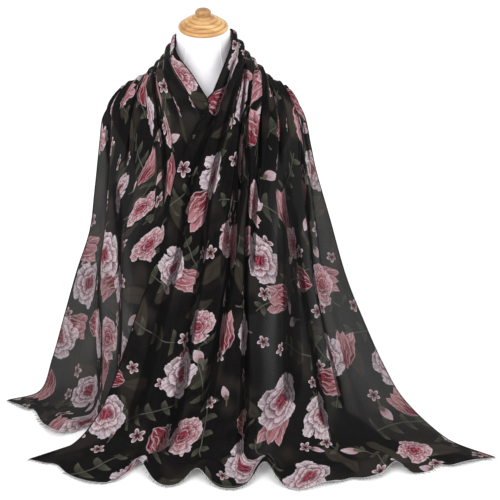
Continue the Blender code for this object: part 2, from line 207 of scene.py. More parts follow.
GATHERS = (
    Pleat(0.04, 0.030, 0.0045),
    Pleat(0.17, 0.045, 0.0070),
    Pleat(0.31, 0.040, 0.0050),
    Pleat(0.42, 0.040, 0.0055),
    Pleat(0.57, 0.060, 0.0055),
    Pleat(0.72, 0.050, 0.0032),
    Pleat(0.84, 0.050, 0.0030),
    Pleat(0.96, 0.040, 0.0018),
)
UNDER_FOLDS = (
    Fold(0.97, 0.96, 0.028, 0.030, 0.003, 0.004),
    Fold(0.82, 0.80, 0.045, 0.050, 0.012, 0.018),
    Fold(0.68, 0.63, 0.045, 0.045, 0.009, 0.006),
    Fold(0.48, 0.46, 0.045, 0.045, 0.005, 0.004),
    Fold(0.30, 0.30, 0.050, 0.045, 0.004, 0.004),
    Fold(0.12, 0.12, 0.045, 0.045, 0.004, 0.004),
)
OVER_FOLDS = (
    Fold(0.05, 0.03, 0.030, 0.024, 0.003, 0.003),
    Fold(0.15, 0.13, 0.035, 0.045, 0.008, 0.006),
    Fold(0.27, 0.235, 0.030, 0.030, 0.008, 0.015),
    Fold(0.37, 0.30, 0.035, 0.030, 0.009, 0.004),
    Fold(0.47, 0.365, 0.030, 0.032, 0.018, 0.014),
    Fold(0.58, 0.435, 0.028, 0.030, 0.007, 0.005),
    Fold(0.68, 0.505, 0.030, 0.034, 0.013, 0.017),
    Fold(0.77, 0.62, 0.026, 0.040, 0.006, 0.008),
    Fold(0.85, 0.74, 0.032, 0.034, 0.018, 0.010),
    Fold(0.93, 0.79, 0.025, 0.024, 0.005, 0.012),
    Fold(0.98, 0.92, 0.020, 0.040, 0.002, 0.006),
)
UNDER_WAVES = (
    HemWave(0.80, 0.070, 0.034),
    HemWave(0.66, 0.050, -0.016),
    HemWave(0.45, 0.060, 0.008),
    HemWave(0.22, 0.060, -0.008),
    HemWave(0.89, 0.022, -0.016),
    HemWave(0.54, 0.020, -0.012),
    HemWave(0.33, 0.024, 0.008),
)
OVER_WAVES = (
    HemWave(0.135, 0.070, 0.034),
    HemWave(0.235, 0.024, -0.038),
    HemWave(0.300, 0.030, 0.014),
    HemWave(0.362, 0.024, -0.026),
    HemWave(0.430, 0.035, 0.012),
    HemWave(0.505, 0.024, -0.044),
    HemWave(0.585, 0.040, 0.014),
    HemWave(0.781, 0.022, -0.024),
    HemWave(0.060, 0.018, -0.012),
    HemWave(0.690, 0.020, -0.008),
    HemWave(0.880, 0.016, -0.010),
)
UNDER_CURLS = (
    Curl(0.93, 0.030, 0.005),
    Curl(0.66, 0.050, 0.006),
    Curl(0.30, 0.060, 0.003),
)
OVER_CURLS = (
    Curl(0.235, 0.030, 0.009),
    Curl(0.362, 0.026, 0.007),
    Curl(0.505, 0.030, 0.010),
    Curl(0.660, 0.050, 0.004),
    Curl(0.781, 0.030, 0.007),
    Curl(0.955, 0.030, 0.004),
)
OVER_CREASES = (
    Crease(((0.03, 0.22), (0.35, 0.41), (0.73, 0.31)), 0.013, 0.008, 1.0),
    Crease(((0.20, 0.33), (0.35, 0.36), (0.50, 0.33)), 0.010, 0.004, 0.8),
    Crease(((0.12, 0.33), (0.35, 0.46), (0.86, 0.44)), 0.010, 0.007, 1.0),
    Crease(((0.33, 0.66), (0.60, 0.55), (0.92, 0.50)), 0.020, -0.005, -0.75),
    Crease(((0.30, 0.74), (0.45, 0.71), (0.72, 0.61)), 0.022, 0.008, 1.0),
    Crease(((0.38, 0.77), (0.80, 0.71)), 0.008, 0.006, 1.0),
    Crease(((0.40, 0.80), (0.80, 0.74)), 0.013, -0.006, -0.55),
    Crease(((0.20, 0.87), (0.30, 0.88), (0.50, 0.81), (0.76, 0.79)), 0.012, 0.007, 1.0),
    Crease(((0.14, 0.95), (0.28, 0.96), (0.50, 0.86)), 0.007, 0.004, 1.0),
    Crease(((0.02, 0.47), (0.28, 0.52), (0.48, 0.49)), 0.010, 0.005, 0.8),
    Crease(((0.02, 0.62), (0.26, 0.70)), 0.011, 0.005, 0.8),
    Crease(((0.10, 0.09), (0.80, 0.10)), 0.016, 0.003, 0.4),
    Crease(((0.15, 0.19), (0.40, 0.22), (0.90, 0.23)), 0.014, 0.004, 0.6),
)
UNDER_CREASES = (
    Crease(((0.18, 0.93), (0.35, 0.90), (0.80, 0.71)), 0.014, 0.006, 1.0),
    Crease(((0.35, 0.79), (0.65, 0.65), (0.80, 0.61)), 0.012, 0.006, 1.0),
    Crease(((0.45, 0.69), (0.65, 0.60), (0.81, 0.56)), 0.022, -0.004, -0.4),
    Crease(((0.02, 0.60), (0.30, 0.74)), 0.012, 0.006, 0.8),
    Crease(((0.02, 0.36), (0.20, 0.42), (0.40, 0.44)), 0.012, 0.005, 0.8),
)
OVER_BUCKLES = (
    Buckle((0.02, 0.955), (0.20, 0.905), 0.010, 0.022),
    Buckle((0.03, 0.905), (0.17, 0.855), 0.008, 0.020),
    Buckle((0.24, 0.90), (0.36, 0.93), 0.006, 0.018),
    Buckle((0.38, 0.86), (0.50, 0.90), 0.007, 0.020),
    Buckle((0.56, 0.875), (0.78, 0.895), 0.010, 0.020),
    Buckle((0.66, 0.935), (0.80, 0.955), 0.007, 0.018),
    Buckle((0.82, 0.885), (0.98, 0.925), 0.006, 0.018),
)
UNDER_BUCKLES = (
    Buckle((0.55, 0.955), (0.90, 0.935), 0.008, 0.020),
    Buckle((0.60, 0.915), (0.82, 0.885), 0.006, 0.018),
    Buckle((0.80, 0.975), (0.97, 0.960), 0.006, 0.012),
)
# How far across the cloth each fall lies doubled, at places down the fall. The material paints the doubled
# cloth darker and the single cloth lighter, as painted shade and painted light.
OVER_DOUBLED = (
    (0.0, 1.04), (0.20, 1.00), (0.30, 0.93), (0.40, 0.86), (0.55, 0.815), (0.78, 0.79), (1.0, 0.99),
)
UNDER_DOUBLED = (
    (0.0, 1.04), (0.20, 0.98), (0.30, 0.90), (0.50, 0.83), (0.62, 0.60), (0.80, 0.48), (1.0, 0.80),
)
FORM_RINGS = (
    Ring(0.200, 0.146, 0.098, 0.104),
    Ring(0.260, 0.156, 0.106, 0.114),
    Ring(0.330, 0.143, 0.100, 0.098),
    Ring(0.400, 0.122, 0.094, 0.080),
    Ring(0.470, 0.130, 0.100, 0.084),
    Ring(0.530, 0.148, 0.112, 0.092),
    Ring(0.575, 0.166, 0.113, 0.098),
    Ring(0.610, 0.182, 0.104, 0.098),
    Ring(0.636, 0.186, 0.092, 0.092),
    Ring(0.658, 0.170, 0.080, 0.084),
    Ring(0.678, 0.138, 0.070, 0.077),
    Ring(0.696, 0.104, 0.062, 0.070),
    Ring(0.714, 0.076, 0.056, 0.062),
    Ring(0.734, 0.059, 0.052, 0.055),
    Ring(0.762, 0.051, 0.050, 0.051),
    Ring(0.800, 0.050, 0.050, 0.050),
)
CAP_OUTLINE = (
    TurnPoint(0.0450, 0.8003),
    TurnPoint(0.0468, 0.8020),
    TurnPoint(0.0468, 0.8050),
    TurnPoint(0.0448, 0.8070),
    TurnPoint(0.0415, 0.8078),
    TurnPoint(0.0405, 0.8105),
    TurnPoint(0.0350, 0.8128),
    TurnPoint(0.0340, 0.8155),
    TurnPoint(0.0275, 0.8180),
    TurnPoint(0.0262, 0.8205),
    TurnPoint(0.0200, 0.8232),
    TurnPoint(0.0165, 0.8252),
    TurnPoint(0.0148, 0.8272),
    TurnPoint(0.0150, 0.8300),
    TurnPoint(0.0148, 0.8335),
    TurnPoint(0.0120, 0.8370),
    TurnPoint(0.0060, 0.8390),
)


def srgb(red: int, green: int, blue: int) -> Colour:
    """Turns screen values into a linear colour.

    Args:
        red: The red channel, 0 to 255.
        green: The green channel, 0 to 255.
        blue: The blue channel, 0 to 255.

    Returns:
        The linear colour.
    """

    def linear(channel: int) -> float:
        """Turns one channel."""
        share = channel / 255
        return share / 12.92 if share <= 0.04045 else ((share + 0.055) / 1.055) ** 2.4

    return linear(red), linear(green), linear(blue)


def ease(value: np.ndarray | float) -> np.ndarray:
    """A smooth step from 0 to 1.

    Args:
        value: Where along the step.

    Returns:
        The eased share.
    """
    value = np.clip(value, 0.0, 1.0)
    return value * value * (3 - 2 * value)


def bump(u: np.ndarray, centre: np.ndarray | float, width: np.ndarray | float) -> np.ndarray:
    """A soft bump across the cloth.

    Args:
        u: Shares of the cloth's width.
        centre: The bump's place.
        width: The bump's half width.

    Returns:
        The bump's height, 1 at its centre.
    """
    return np.exp(-(((u - centre) / width) ** 2))


def along_line(places: np.ndarray, line: tuple[tuple[float, float], ...]) -> np.ndarray:
    """Reads a line through points at places along it.

    Args:
        places: Where to read it.
        line: The points, each a place and its value.

    Returns:
        The values.
    """
    return np.interp(places, *zip(*line, strict=True))


def running_mean(values: np.ndarray, count: int) -> np.ndarray:
    """Evens out values along the first axis, with the end values held.

    Args:
        values: The values by row and column.
        count: The number of rows in each mean, which is odd.

    Returns:
        The means.
    """
    kernel = np.ones(count) / count
    padded = np.pad(values, ((count // 2, count // 2), (0, 0)), mode="edge")
    return np.apply_along_axis(lambda line: np.convolve(line, kernel, mode="valid"), 0, padded)


def unit(vectors: np.ndarray) -> np.ndarray:
    """Scales vectors to length 1.

    Args:
        vectors: The vectors, in the last axis.

    Returns:
        The unit vectors.
    """
    return vectors / np.maximum(np.linalg.norm(vectors, axis=-1, keepdims=True), 1e-12)


def grid_normals(grid: np.ndarray) -> np.ndarray:
    """Unit normals of a grid of points, pointing away from the form.

    Args:
        grid: Points by row and column.

    Returns:
        One normal for each point.
    """
    return unit(np.cross(np.gradient(grid, axis=0), np.gradient(grid, axis=1)))


def smooth_rows(rows: np.ndarray, places: np.ndarray) -> np.ndarray:
    """Reads a table along Catmull-Rom curves through its rows.

    Args:
        rows: The table, one row for each whole place.
        places: Where to read it.

    Returns:
        The values at the places.
    """
    padded = np.concatenate([2 * rows[:1] - rows[1:2], rows, 2 * rows[-1:] - rows[-2:-1]])
    low = np.minimum(places.astype(int), len(rows) - 2)
    share = (places - low).reshape((-1,) + (1,) * (rows.ndim - 1))
    before, start, end, after = (padded[low + step] for step in range(4))
    bend = 2 * before - 5 * start + 4 * end - after
    twist = -before + 3 * start - 3 * end + after
    return 0.5 * (2 * start + (end - before) * share + bend * share**2 + twist * share**3)


def grid_faces(rows: int, columns: int, closed: bool = False) -> list[tuple[int, int, int, int]]:
    """Quads over a grid of points.

    Args:
        rows: Number of rows.
        columns: Number of columns.
        closed: Whether the last column joins the first.

    Returns:
        Corner numbers of each quad.
    """
    faces = []
    for row in range(rows - 1):
        for column in range(columns if closed else columns - 1):
            here = row * columns + column
            there = row * columns + (column + 1) % columns
            faces.append((here, there, there + columns, here + columns))
    return faces


def add_object(name: str, data: bpy.types.ID) -> bpy.types.Object:
    """Adds an object to the scene.

    Args:
        name: The object's name.
        data: Its mesh, light or camera.

    Returns:
        The object.
    """
    thing = bpy.data.objects.new(name, data)
    bpy.context.scene.collection.objects.link(thing)
    return thing


def mesh_object(name: str, points: np.ndarray, faces: list[tuple[int, ...]]) -> bpy.types.Object:
    """Makes a smooth-shaded mesh object at the origin.

    Args:
        name: The object's name.
        points: Its vertices.
        faces: Corner numbers of its faces.

    Returns:
        The object.
    """
    mesh = bpy.data.meshes.new(name)
    mesh.from_pydata(points.reshape(-1, 3).tolist(), [], faces)
    mesh.shade_smooth()
    return add_object(name, mesh)


def turn_outwards(thing: bpy.types.Object) -> None:
    """Turns a closed mesh's faces outwards.

    Args:
        thing: The object.
    """
    work = bmesh.new()
    work.from_mesh(thing.data)
    bmesh.ops.recalc_face_normals(work, faces=work.faces)
    work.to_mesh(thing.data)
    work.free()


def lay_flat(thing: bpy.types.Object, flat: np.ndarray, density: np.ndarray) -> None:
    """Gives a piece of cloth its flat coordinates and how closely it lies in layers.

    Args:
        thing: The piece.
        flat: Flat coordinates of each vertex.
        density: How closely the cloth lies in layers at each vertex.
    """
    corners = np.empty(len(thing.data.loops), dtype=np.int64)
    thing.data.loops.foreach_get("vertex_index", corners)
    layer = thing.data.uv_layers.new(name=FLAT_LAYER)
    layer.data.foreach_set("uv", flat.reshape(-1, 2)[corners].ravel())
    layers = thing.data.attributes.new(LAYERS_ATTRIBUTE, "FLOAT", "POINT")
    layers.data.foreach_set("value", density.astype(np.float32).ravel())


def place_piece(
    thing: bpy.types.Object, material: bpy.types.Material, slot: Slot, *nodes: Node
) -> bpy.types.Object:
    """Sets a piece on the frame and reports it.

    Args:
        thing: The finished piece.
        material: Its material, unless it has one already.
        slot: The material slot that the piece belongs to; not used.
        nodes: The frame's nodes that it stands for.

    Returns:
        The piece.
    """
    if not thing.data.materials:
        thing.data.materials.append(material)
    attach(thing, BODY)
    if nodes:
        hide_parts(*[node.value for node in nodes])
    LOG.info("%s: %d faces", thing.name, len(thing.data.polygons))
    return thing


def turned_solid(name: str, outline: list[TurnPoint], segments: int) -> bpy.types.Object:
    """A solid of revolution about Z, closed by fans at both ends.

    Args:
        name: The object's name.
        outline: Radii and heights from the foot to the top.
        segments: Number of steps round it.

    Returns:
        The object.
    """
    angles = np.arange(segments) * 2 * math.pi / segments
    rings = [
        np.stack([p.radius * np.cos(angles), p.radius * np.sin(angles), np.full(segments, p.height)], axis=1)
        for p in outline
    ]
    ends = np.array([[0, 0, outline[0].height], [0, 0, outline[-1].height]])
    points = np.concatenate(rings + [ends])
    faces: list[tuple[int, ...]] = list(grid_faces(len(outline), segments, closed=True))
    foot, top = len(points) - 2, len(points) - 1
    last = (len(outline) - 1) * segments
    for step in range(segments):
        after = (step + 1) % segments
        faces.append((foot, after, step))
        faces.append((top, last + step, last + after))
    thing = mesh_object(name, points, faces)
    turn_outwards(thing)
    return thing


def tube(points: np.ndarray, radius: float, sides: int) -> tuple[np.ndarray, list[tuple[int, ...]]]:
    """A round tube along a line.

    Args:
        points: The line.
        radius: The tube's radius.
        sides: Its number of sides.

    Returns:
        Its vertices and faces.
    """
    along = unit(np.gradient(points, axis=0))
    aside = unit(np.cross(along, [0.0, 0.31, 0.95]))
    upward = np.cross(aside, along)
    angles = np.arange(sides) * 2 * math.pi / sides
    ring = np.cos(angles)[None, :, None] * aside[:, None] + np.sin(angles)[None, :, None] * upward[:, None]
    places = points[:, None] + radius * ring
    faces: list[tuple[int, ...]] = list(grid_faces(len(points), sides, closed=True))
    faces.append(tuple(range(sides)))
    faces.append(tuple(range((len(points) - 1) * sides, len(points) * sides)))
    return places.reshape(-1, 3), faces


def add_node(
    tree: bpy.types.NodeTree, kind: str, inputs: dict[str | int, object] | None = None, **settings: object
) -> bpy.types.Node:
    """Adds a node to a tree.

    Args:
        tree: The tree.
        kind: The node's type.
        inputs: Sockets to link, or values to set, by the input's name or number.
        settings: Properties to set on the node first.

    Returns:
        The node.
    """
    node = tree.nodes.new(kind)
    for name, value in settings.items():
        setattr(node, name, value)
    for name, value in (inputs or {}).items():
        if isinstance(value, bpy.types.NodeSocket):
            tree.links.new(value, node.inputs[name])
        else:
            node.inputs[name].default_value = value
    return node


@dataclass
class Number:
    """A number in a shader tree. Arithmetic on it adds Math nodes."""

    tree: bpy.types.NodeTree
    socket: bpy.types.NodeSocket

    def math(self, operation: str, *others: "Number | float") -> "Number":
        """Adds a Math node.

        Args:
            operation: The node's operation.
            others: Its other operands.

        Returns:
            The result.
        """
        values = [other.socket if isinstance(other, Number) else other for other in others]
        operands = dict(enumerate([self.socket, *values]))
        node = add_node(self.tree, "ShaderNodeMath", operands, operation=operation)
        return Number(self.tree, node.outputs[0])

    def __add__(self, other: "Number | float") -> "Number":
        """The sum."""
        return self.math("ADD", other)

    def __sub__(self, other: "Number | float") -> "Number":
        """The difference."""
        return self.math("SUBTRACT", other)

    def __mul__(self, other: "Number | float") -> "Number":
        """The product."""
        return self.math("MULTIPLY", other)

    def __truediv__(self, other: "Number | float") -> "Number":
        """The quotient."""
        return self.math("DIVIDE", other)

    def __neg__(self) -> "Number":
        """The number with its sign turned."""
        return self.math("MULTIPLY", -1.0)

    def size(self) -> "Number":
        """Its absolute value."""
        return self.math("ABSOLUTE")

    def sine(self) -> "Number":
        """Its sine."""
        return self.math("SINE")

    def cosine(self) -> "Number":
        """Its cosine."""
        return self.math("COSINE")

    def power(self, exponent: float) -> "Number":
        """Its power."""
        return self.math("POWER", exponent)

    def ramp(self, low: float, high: float) -> "Number":
        """A smooth ramp from 0 at low to 1 at high."""
        limits = {
            "Value": self.socket,
            "From Min": min(low, high),
            "From Max": max(low, high),
            "To Min": 0.0 if low < high else 1.0,
            "To Max": 1.0 if low < high else 0.0,
        }
        node = add_node(self.tree, "ShaderNodeMapRange", limits, interpolation_type="SMOOTHSTEP")
        return Number(self.tree, node.outputs["Result"])


@dataclass
class Place:
    """A place on the cloth, in a motif's own coordinates."""

    x: Number
    y: Number

    def radius(self) -> Number:
        """The distance from the motif's centre."""
        return (self.x * self.x + self.y * self.y).math("SQRT")

    def angle(self) -> Number:
        """The angle round the motif's centre."""
        return self.y.math("ARCTAN2", self.x)

    def shifted(self, x: float, y: float) -> "Place":
        """The place seen from another centre."""
        return Place(self.x - x, self.y - y)

    def turned(self, angle: "Number | float") -> "Place":
        """The place in axes turned by an angle."""
        if isinstance(angle, Number):
            cosine, sine = angle.cosine(), angle.sine()
        else:
            cosine, sine = math.cos(angle), math.sin(angle)
        return Place(self.x * cosine + self.y * sine, self.y * cosine - self.x * sine)

    def scaled(self, factor: "Number | float") -> "Place":
        """The place in units of a factor."""
        return Place(self.x / factor, self.y / factor)


Source = Number | bpy.types.NodeSocket | float | Colour


class Paint:
    """A node-based material under construction."""

    def __init__(self, name: str) -> None:
        """Starts a material with a plain surface.

        Args:
            name: The material's name.
        """
        self.material = bpy.data.materials.new(name)
        self.material.use_nodes = True
        self.tree = self.material.node_tree
        self.surface = self.tree.nodes["Principled BSDF"]

    def node(
        self, kind: str, inputs: dict[str | int, Source] | None = None, **settings: object
    ) -> bpy.types.Node:
        """Adds a node.

        Args:
            kind: The node's type.
            inputs: What to feed its inputs with, by name or number.
            settings: Properties to set on it first.

        Returns:
            The node.
        """
        node = add_node(self.tree, kind, **settings)
        for name, source in (inputs or {}).items():
            self.feed(source, node.inputs[name])
        return node

    def feed(self, source: Source, target: bpy.types.NodeSocket) -> None:
        """Links or sets an input, whichever the source asks for."""
        if isinstance(source, Number):
            self.tree.links.new(source.socket, target)
        elif isinstance(source, bpy.types.NodeSocket):
            self.tree.links.new(source, target)
        elif isinstance(source, tuple) and len(target.default_value) > len(source):
            target.default_value = (*source, 1.0)
        else:
            target.default_value = source

    def number(self, socket: bpy.types.NodeSocket) -> Number:
        """Wraps an output as a number."""
        return Number(self.tree, socket)

    def split(self, vector: bpy.types.NodeSocket) -> tuple[Number, Number, Number]:
        """The three parts of a vector."""
        node = self.node("ShaderNodeSeparateXYZ", {0: vector})
        return tuple(self.number(output) for output in node.outputs)

    def join(self, x: Number | float, y: Number | float, z: Number | float = 0.0) -> bpy.types.NodeSocket:
        """A vector from three parts."""
        return self.node("ShaderNodeCombineXYZ", {0: x, 1: y, 2: z}).outputs[0]

    def coordinates(self) -> bpy.types.NodeSocket:
        """Object coordinates."""
        return self.node("ShaderNodeTexCoord").outputs["Object"]

    def noise_node(
        self, vector: bpy.types.NodeSocket, scale: float, detail: float, rough: float
    ) -> bpy.types.Node:
        """A noise node over a vector."""
        inputs = {"Vector": vector, "Scale": scale, "Detail": detail, "Roughness": rough}
        return self.node("ShaderNodeTexNoise", inputs)

    def noise(
        self, vector: bpy.types.NodeSocket, scale: float, detail: float = 2.0, rough: float = 0.5
    ) -> Number:
        """Noise over a vector, from 0 to 1."""
        return self.number(self.noise_node(vector, scale, detail, rough).outputs["Fac"])

    def noises(
        self, vector: bpy.types.NodeSocket, scale: float, detail: float, rough: float
    ) -> tuple[Number, Number, Number]:
        """Three unlike noises over a vector, each from 0 to 1."""
        noise = self.noise_node(vector, scale, detail, rough)
        parts = self.node("ShaderNodeSeparateColor", {0: noise.outputs["Color"]})
        return tuple(self.number(output) for output in parts.outputs)

    def mix(
        self,
        share: Number | float,
        first: bpy.types.NodeSocket | Colour,
        second: bpy.types.NodeSocket | Colour,
    ) -> bpy.types.NodeSocket:
        """Mixes two colours by a share."""
        inputs = {"Factor": share, 6: first, 7: second}
        return self.node("ShaderNodeMix", inputs, data_type="RGBA").outputs[2]

    def relief(self, height: Number, depth: float, strength: float = 1.0) -> None:
        """Sets the surface's bump."""
        inputs = {"Strength": strength, "Distance": depth, "Height": height}
        self.set("Normal", self.node("ShaderNodeBump", inputs).outputs[0])

    def set(self, name: str, value: Source) -> None:
        """Sets or links one of the surface's inputs."""
        self.feed(value, self.surface.inputs[name])


class Motif(NamedTuple):
    """A printed motif: where it covers the cloth, and its colour."""

    cover: Number
    colour: bpy.types.NodeSocket


@dataclass(frozen=True)
class Scatter:
    """How one kind of motif is spread over the cloth."""

    cell: float
    size: float
    turn: float
    offset: float
    randomness: float = 0.5


@dataclass(frozen=True)
class PetalRing:
    """One ring of a blossom's petals."""

    radius: float
    count: int
    phase: float
    root: Colour
    rim: Colour


PALE_PETAL = srgb(196, 178, 185)
PETAL_RIM = srgb(230, 220, 224)
ROSE_PINK = srgb(124, 42, 56)
CRIMSON = srgb(98, 14, 34)
SLIT = srgb(30, 14, 22)
PEONY_RINGS = (
    PetalRing(1.00, 5, 0.4, srgb(98, 58, 74), srgb(200, 184, 191)),
    PetalRing(0.72, 5, 1.3, srgb(108, 50, 68), srgb(216, 196, 203)),
    PetalRing(0.46, 4, 0.2, srgb(92, 18, 40), srgb(206, 166, 176)),
)
ROSE_RINGS = (
    PetalRing(1.00, 4, 0.9, srgb(98, 30, 46), srgb(204, 168, 174)),
    PetalRing(0.78, 5, 0.1, srgb(90, 20, 36), srgb(198, 144, 152)),
    PetalRing(0.56, 4, 1.5, srgb(84, 14, 32), srgb(190, 112, 122)),
    PetalRing(0.34, 3, 0.5, CRIMSON, srgb(160, 62, 76)),
)


class VoilePrint:
    """Sheer black voile printed with peonies, roses, tulips, buds, small stars and leaf sprays."""

    ground = srgb(16, 14, 16)
    leaf = srgb(58, 59, 50)
    leaf_pale = srgb(90, 90, 78)
    leaf_faded = srgb(70, 62, 54)
    sheerness = 0.034
    print_depth = 0.20
    single_fading = 0.34

    def __init__(self, name: str, printed: bool = True) -> None:
        """Starts the cloth's material.

        Args:
            name: The material's name.
            printed: Whether it carries motifs.
        """
        self.paint = Paint(name)
        self.flat = self.paint.node("ShaderNodeUVMap", uv_map=FLAT_LAYER).outputs[0]
        u, v, _ = self.paint.split(self.flat)
        self.cloth = Place(u, v)
        self.printed = printed

    def scattered(self, scatter: Scatter) -> tuple[Place, Number]:
        """The place in the nearest motif's own coordinates.

        Args:
            scatter: How the motif is spread.

        Returns:
            The place in units of the motif's half size, and a chance number of the motif.
        """
        paint = self.paint
        turned = self.cloth.turned(scatter.turn).scaled(scatter.cell)
        here = paint.join(turned.x + scatter.offset, turned.y + scatter.offset * 1.7)
        inputs = {"Vector": here, "Scale": 1.0, "Randomness": scatter.randomness}
        spot = paint.node("ShaderNodeTexVoronoi", inputs, voronoi_dimensions="2D")
        centre_x, centre_y, _ = paint.split(spot.outputs["Position"])
        chance = paint.node("ShaderNodeSeparateColor", {0: spot.outputs["Color"]})
        first, second, third = (paint.number(output) for output in chance.outputs)
        x = turned.x + scatter.offset - centre_x
        y = turned.y + scatter.offset * 1.7 - centre_y
        size = (third * 0.35 + 0.82) * (scatter.size / scatter.cell)
        return Place(x, y).turned(first * (2 * math.pi)).scaled(size), second

    def petal(self, at: Place, length: float, width: float, soft: float = 0.05) -> tuple[Number, Number]:
        """A pointed petal or leaf along y.

        Args:
            at: The place, from the petal's middle.
            length: Half its length.
            width: Half its width.
            soft: The width of its soft edge.

        Returns:
            Its cover, and the distance inside its edge.
        """
        along = at.y / length
        round_share = (-(along * along) + 1.0).math("MAXIMUM", 0.0).power(0.8)
        half = round_share * (-(along * 0.22) + 1.0) * width
        inside = half - at.x.size()
        return inside.ramp(0.0, soft), inside

    def blossom(self, at: Place, rings: tuple[PetalRing, ...], swirl: float, seed: float) -> Motif:
        """A full flower of overlapping rings of ruffled petals.

        Args:
            at: The place, with the flower's radius as the unit.
            rings: Its rings, the outermost first.
            swirl: How far the petals twist from the rim to the heart, in radians.
            seed: An offset that gives the ruffles their own form.

        Returns:
            The motif.
        """
        paint = self.paint
        broad, bend, grain = paint.noises(paint.join(at.x, at.y, seed), 1.5, 3.0, 0.62)
        at = Place(at.x + (broad - 0.5) * 0.30, at.y + (bend - 0.5) * 0.30)
        radius = at.radius()
        angle = at.angle() + radius * swirl
        ruffle = bend + grain - 1.0
        round_it = paint.join(at.x / radius * 4.2, at.y / radius * 4.2, radius * 1.4 + seed)
        fine = paint.noise(round_it, 2.1, 3.0, 0.7)
        streak = fine.ramp(0.54, 0.42)
        cover = None
        colour = None
        for ring in rings:
            lobe = ((angle + ring.phase) * (0.5 * ring.count)).sine().size()
            edge = (lobe.power(0.5) * 0.27 + 0.73 + ruffle * 0.50) * ring.radius
            depth = edge - radius
            here = depth.ramp(0.0, 0.035)
            toward_rim = (radius / edge).math("MINIMUM", 1.0)
            tone = toward_rim.power(1.6) * 1.05 + (broad - 0.5) * 0.9
            petal = paint.mix(tone.ramp(0.15, 0.85), ring.root, ring.rim)
            petal = paint.mix(streak * toward_rim.ramp(1.30, 0.35) * 0.90, petal, ring.root)
            petal = paint.mix(fine.ramp(0.54, 0.62) * toward_rim.ramp(0.3, 0.9) * 0.65, petal, PETAL_RIM)
            petal = paint.mix(depth.ramp(0.07, 0.025) * 0.55, petal, PETAL_RIM)
            slit = lobe.ramp(0.34, 0.06) * toward_rim.ramp(1.06, 0.62)
            petal = paint.mix(slit * 0.80, petal, SLIT)
            if colour is None:
                cover, colour = here, petal
            else:
                shade = depth.ramp(-0.11, 0.0) * 0.55
                colour = paint.mix(shade, colour, srgb(84, 46, 58))
                colour = paint.mix(here, colour, petal)
        core = (radius + (grain - 0.5) * 0.6).ramp(0.24, 0.13)
        mottle = paint.noise(paint.join(at.x, at.y, seed), 9.0, 2.0)
        heart = paint.mix(mottle.ramp(0.42, 0.60), srgb(88, 14, 34), srgb(168, 78, 94))
        return Motif(cover, paint.mix(core, colour, heart))

    def tulip(self, at: Place) -> Motif:
        """Three overlapping pointed petals with dark streaks and pale edges."""
        paint = self.paint
        broad, bend, _ = paint.noises(paint.join(at.x, at.y, 5.0), 1.7, 2.0, 0.6)
        at = Place(at.x + (broad - 0.5) * 0.34, at.y + (bend - 0.5) * 0.30)
        cover = None
        colour = None
        for shift, lean, depth in ((-0.25, 0.24, 0.0), (0.25, -0.26, 0.0), (0.0, 0.02, 0.06)):
            own = at.shifted(shift, -depth).turned(lean)
            here, inside = self.petal(own, 0.92, 0.38)
            streaks = paint.noise(paint.join(own.x * 6.5, own.y * 1.0, shift * 7.0), 1.8, 3.0, 0.7)
            petal = paint.mix((own.y + streaks * 1.6 - 0.8).ramp(-0.7, 0.9), ROSE_PINK, srgb(190, 134, 140))
            petal = paint.mix(streaks.ramp(0.51, 0.57) * own.y.ramp(1.1, -0.25), petal, CRIMSON)
            petal = paint.mix(streaks.ramp(0.46, 0.38) * 0.85, petal, srgb(222, 200, 203))
            petal = paint.mix(inside.ramp(0.09, 0.03) * 0.75, petal, srgb(212, 186, 190))
            if colour is None:
                cover, colour = here, petal
            else:
                shade = inside.ramp(-0.10, 0.0) * 0.6
                colour = paint.mix(shade, colour, srgb(72, 26, 36))
                colour = paint.mix(here, colour, petal)
                cover = cover.math("MAXIMUM", here)
        return Motif(cover, colour)

    def bud(self, at: Place) -> Motif:
        """A closed bud with a pale tip, a pink foot and a stalk."""
        paint = self.paint
        here, inside = self.petal(at.shifted(0.0, 0.25), 0.62, 0.36)
        streaks = paint.noise(paint.join(at.x * 7.0, at.y * 1.5), 2.0, 2.0)
        petal = paint.mix((at.y + streaks * 1.2 - 0.3).ramp(-0.3, 0.85), srgb(168, 74, 88), PALE_PETAL)
        petal = paint.mix(streaks.ramp(0.52, 0.62) * 0.5, petal, CRIMSON)
        petal = paint.mix(inside.ramp(0.12, 0.03) * 0.5, petal, srgb(226, 208, 212))
        cup, _ = self.petal(at.shifted(0.0, -0.24), 0.28, 0.22)
        stalk = (at.x - at.y * at.y * 0.18).size().ramp(0.06, 0.03) * (at.y + 0.62).size().ramp(0.42, 0.36)
        colour = paint.mix(cup.math("MAXIMUM", stalk), petal, self.leaf_pale)
        return Motif(here.math("MAXIMUM", cup).math("MAXIMUM", stalk), colour)

    def star(self, at: Place) -> Motif:
        """A small flower of five petals with a pale outline and a dark heart."""
        paint = self.paint
        radius = at.radius()
        lobe = (at.angle() * 2.5).cosine().size()
        edge = lobe * 0.64 + 0.36
        depth = edge - radius
        petal = paint.mix(radius.ramp(0.15, 0.8), srgb(76, 34, 44), srgb(176, 140, 147))
        petal = paint.mix(depth.ramp(0.24, 0.06), petal, srgb(230, 220, 220))
        petal = paint.mix(radius.ramp(0.30, 0.16), petal, srgb(60, 24, 32))
        return Motif(depth.ramp(0.0, 0.08), petal)

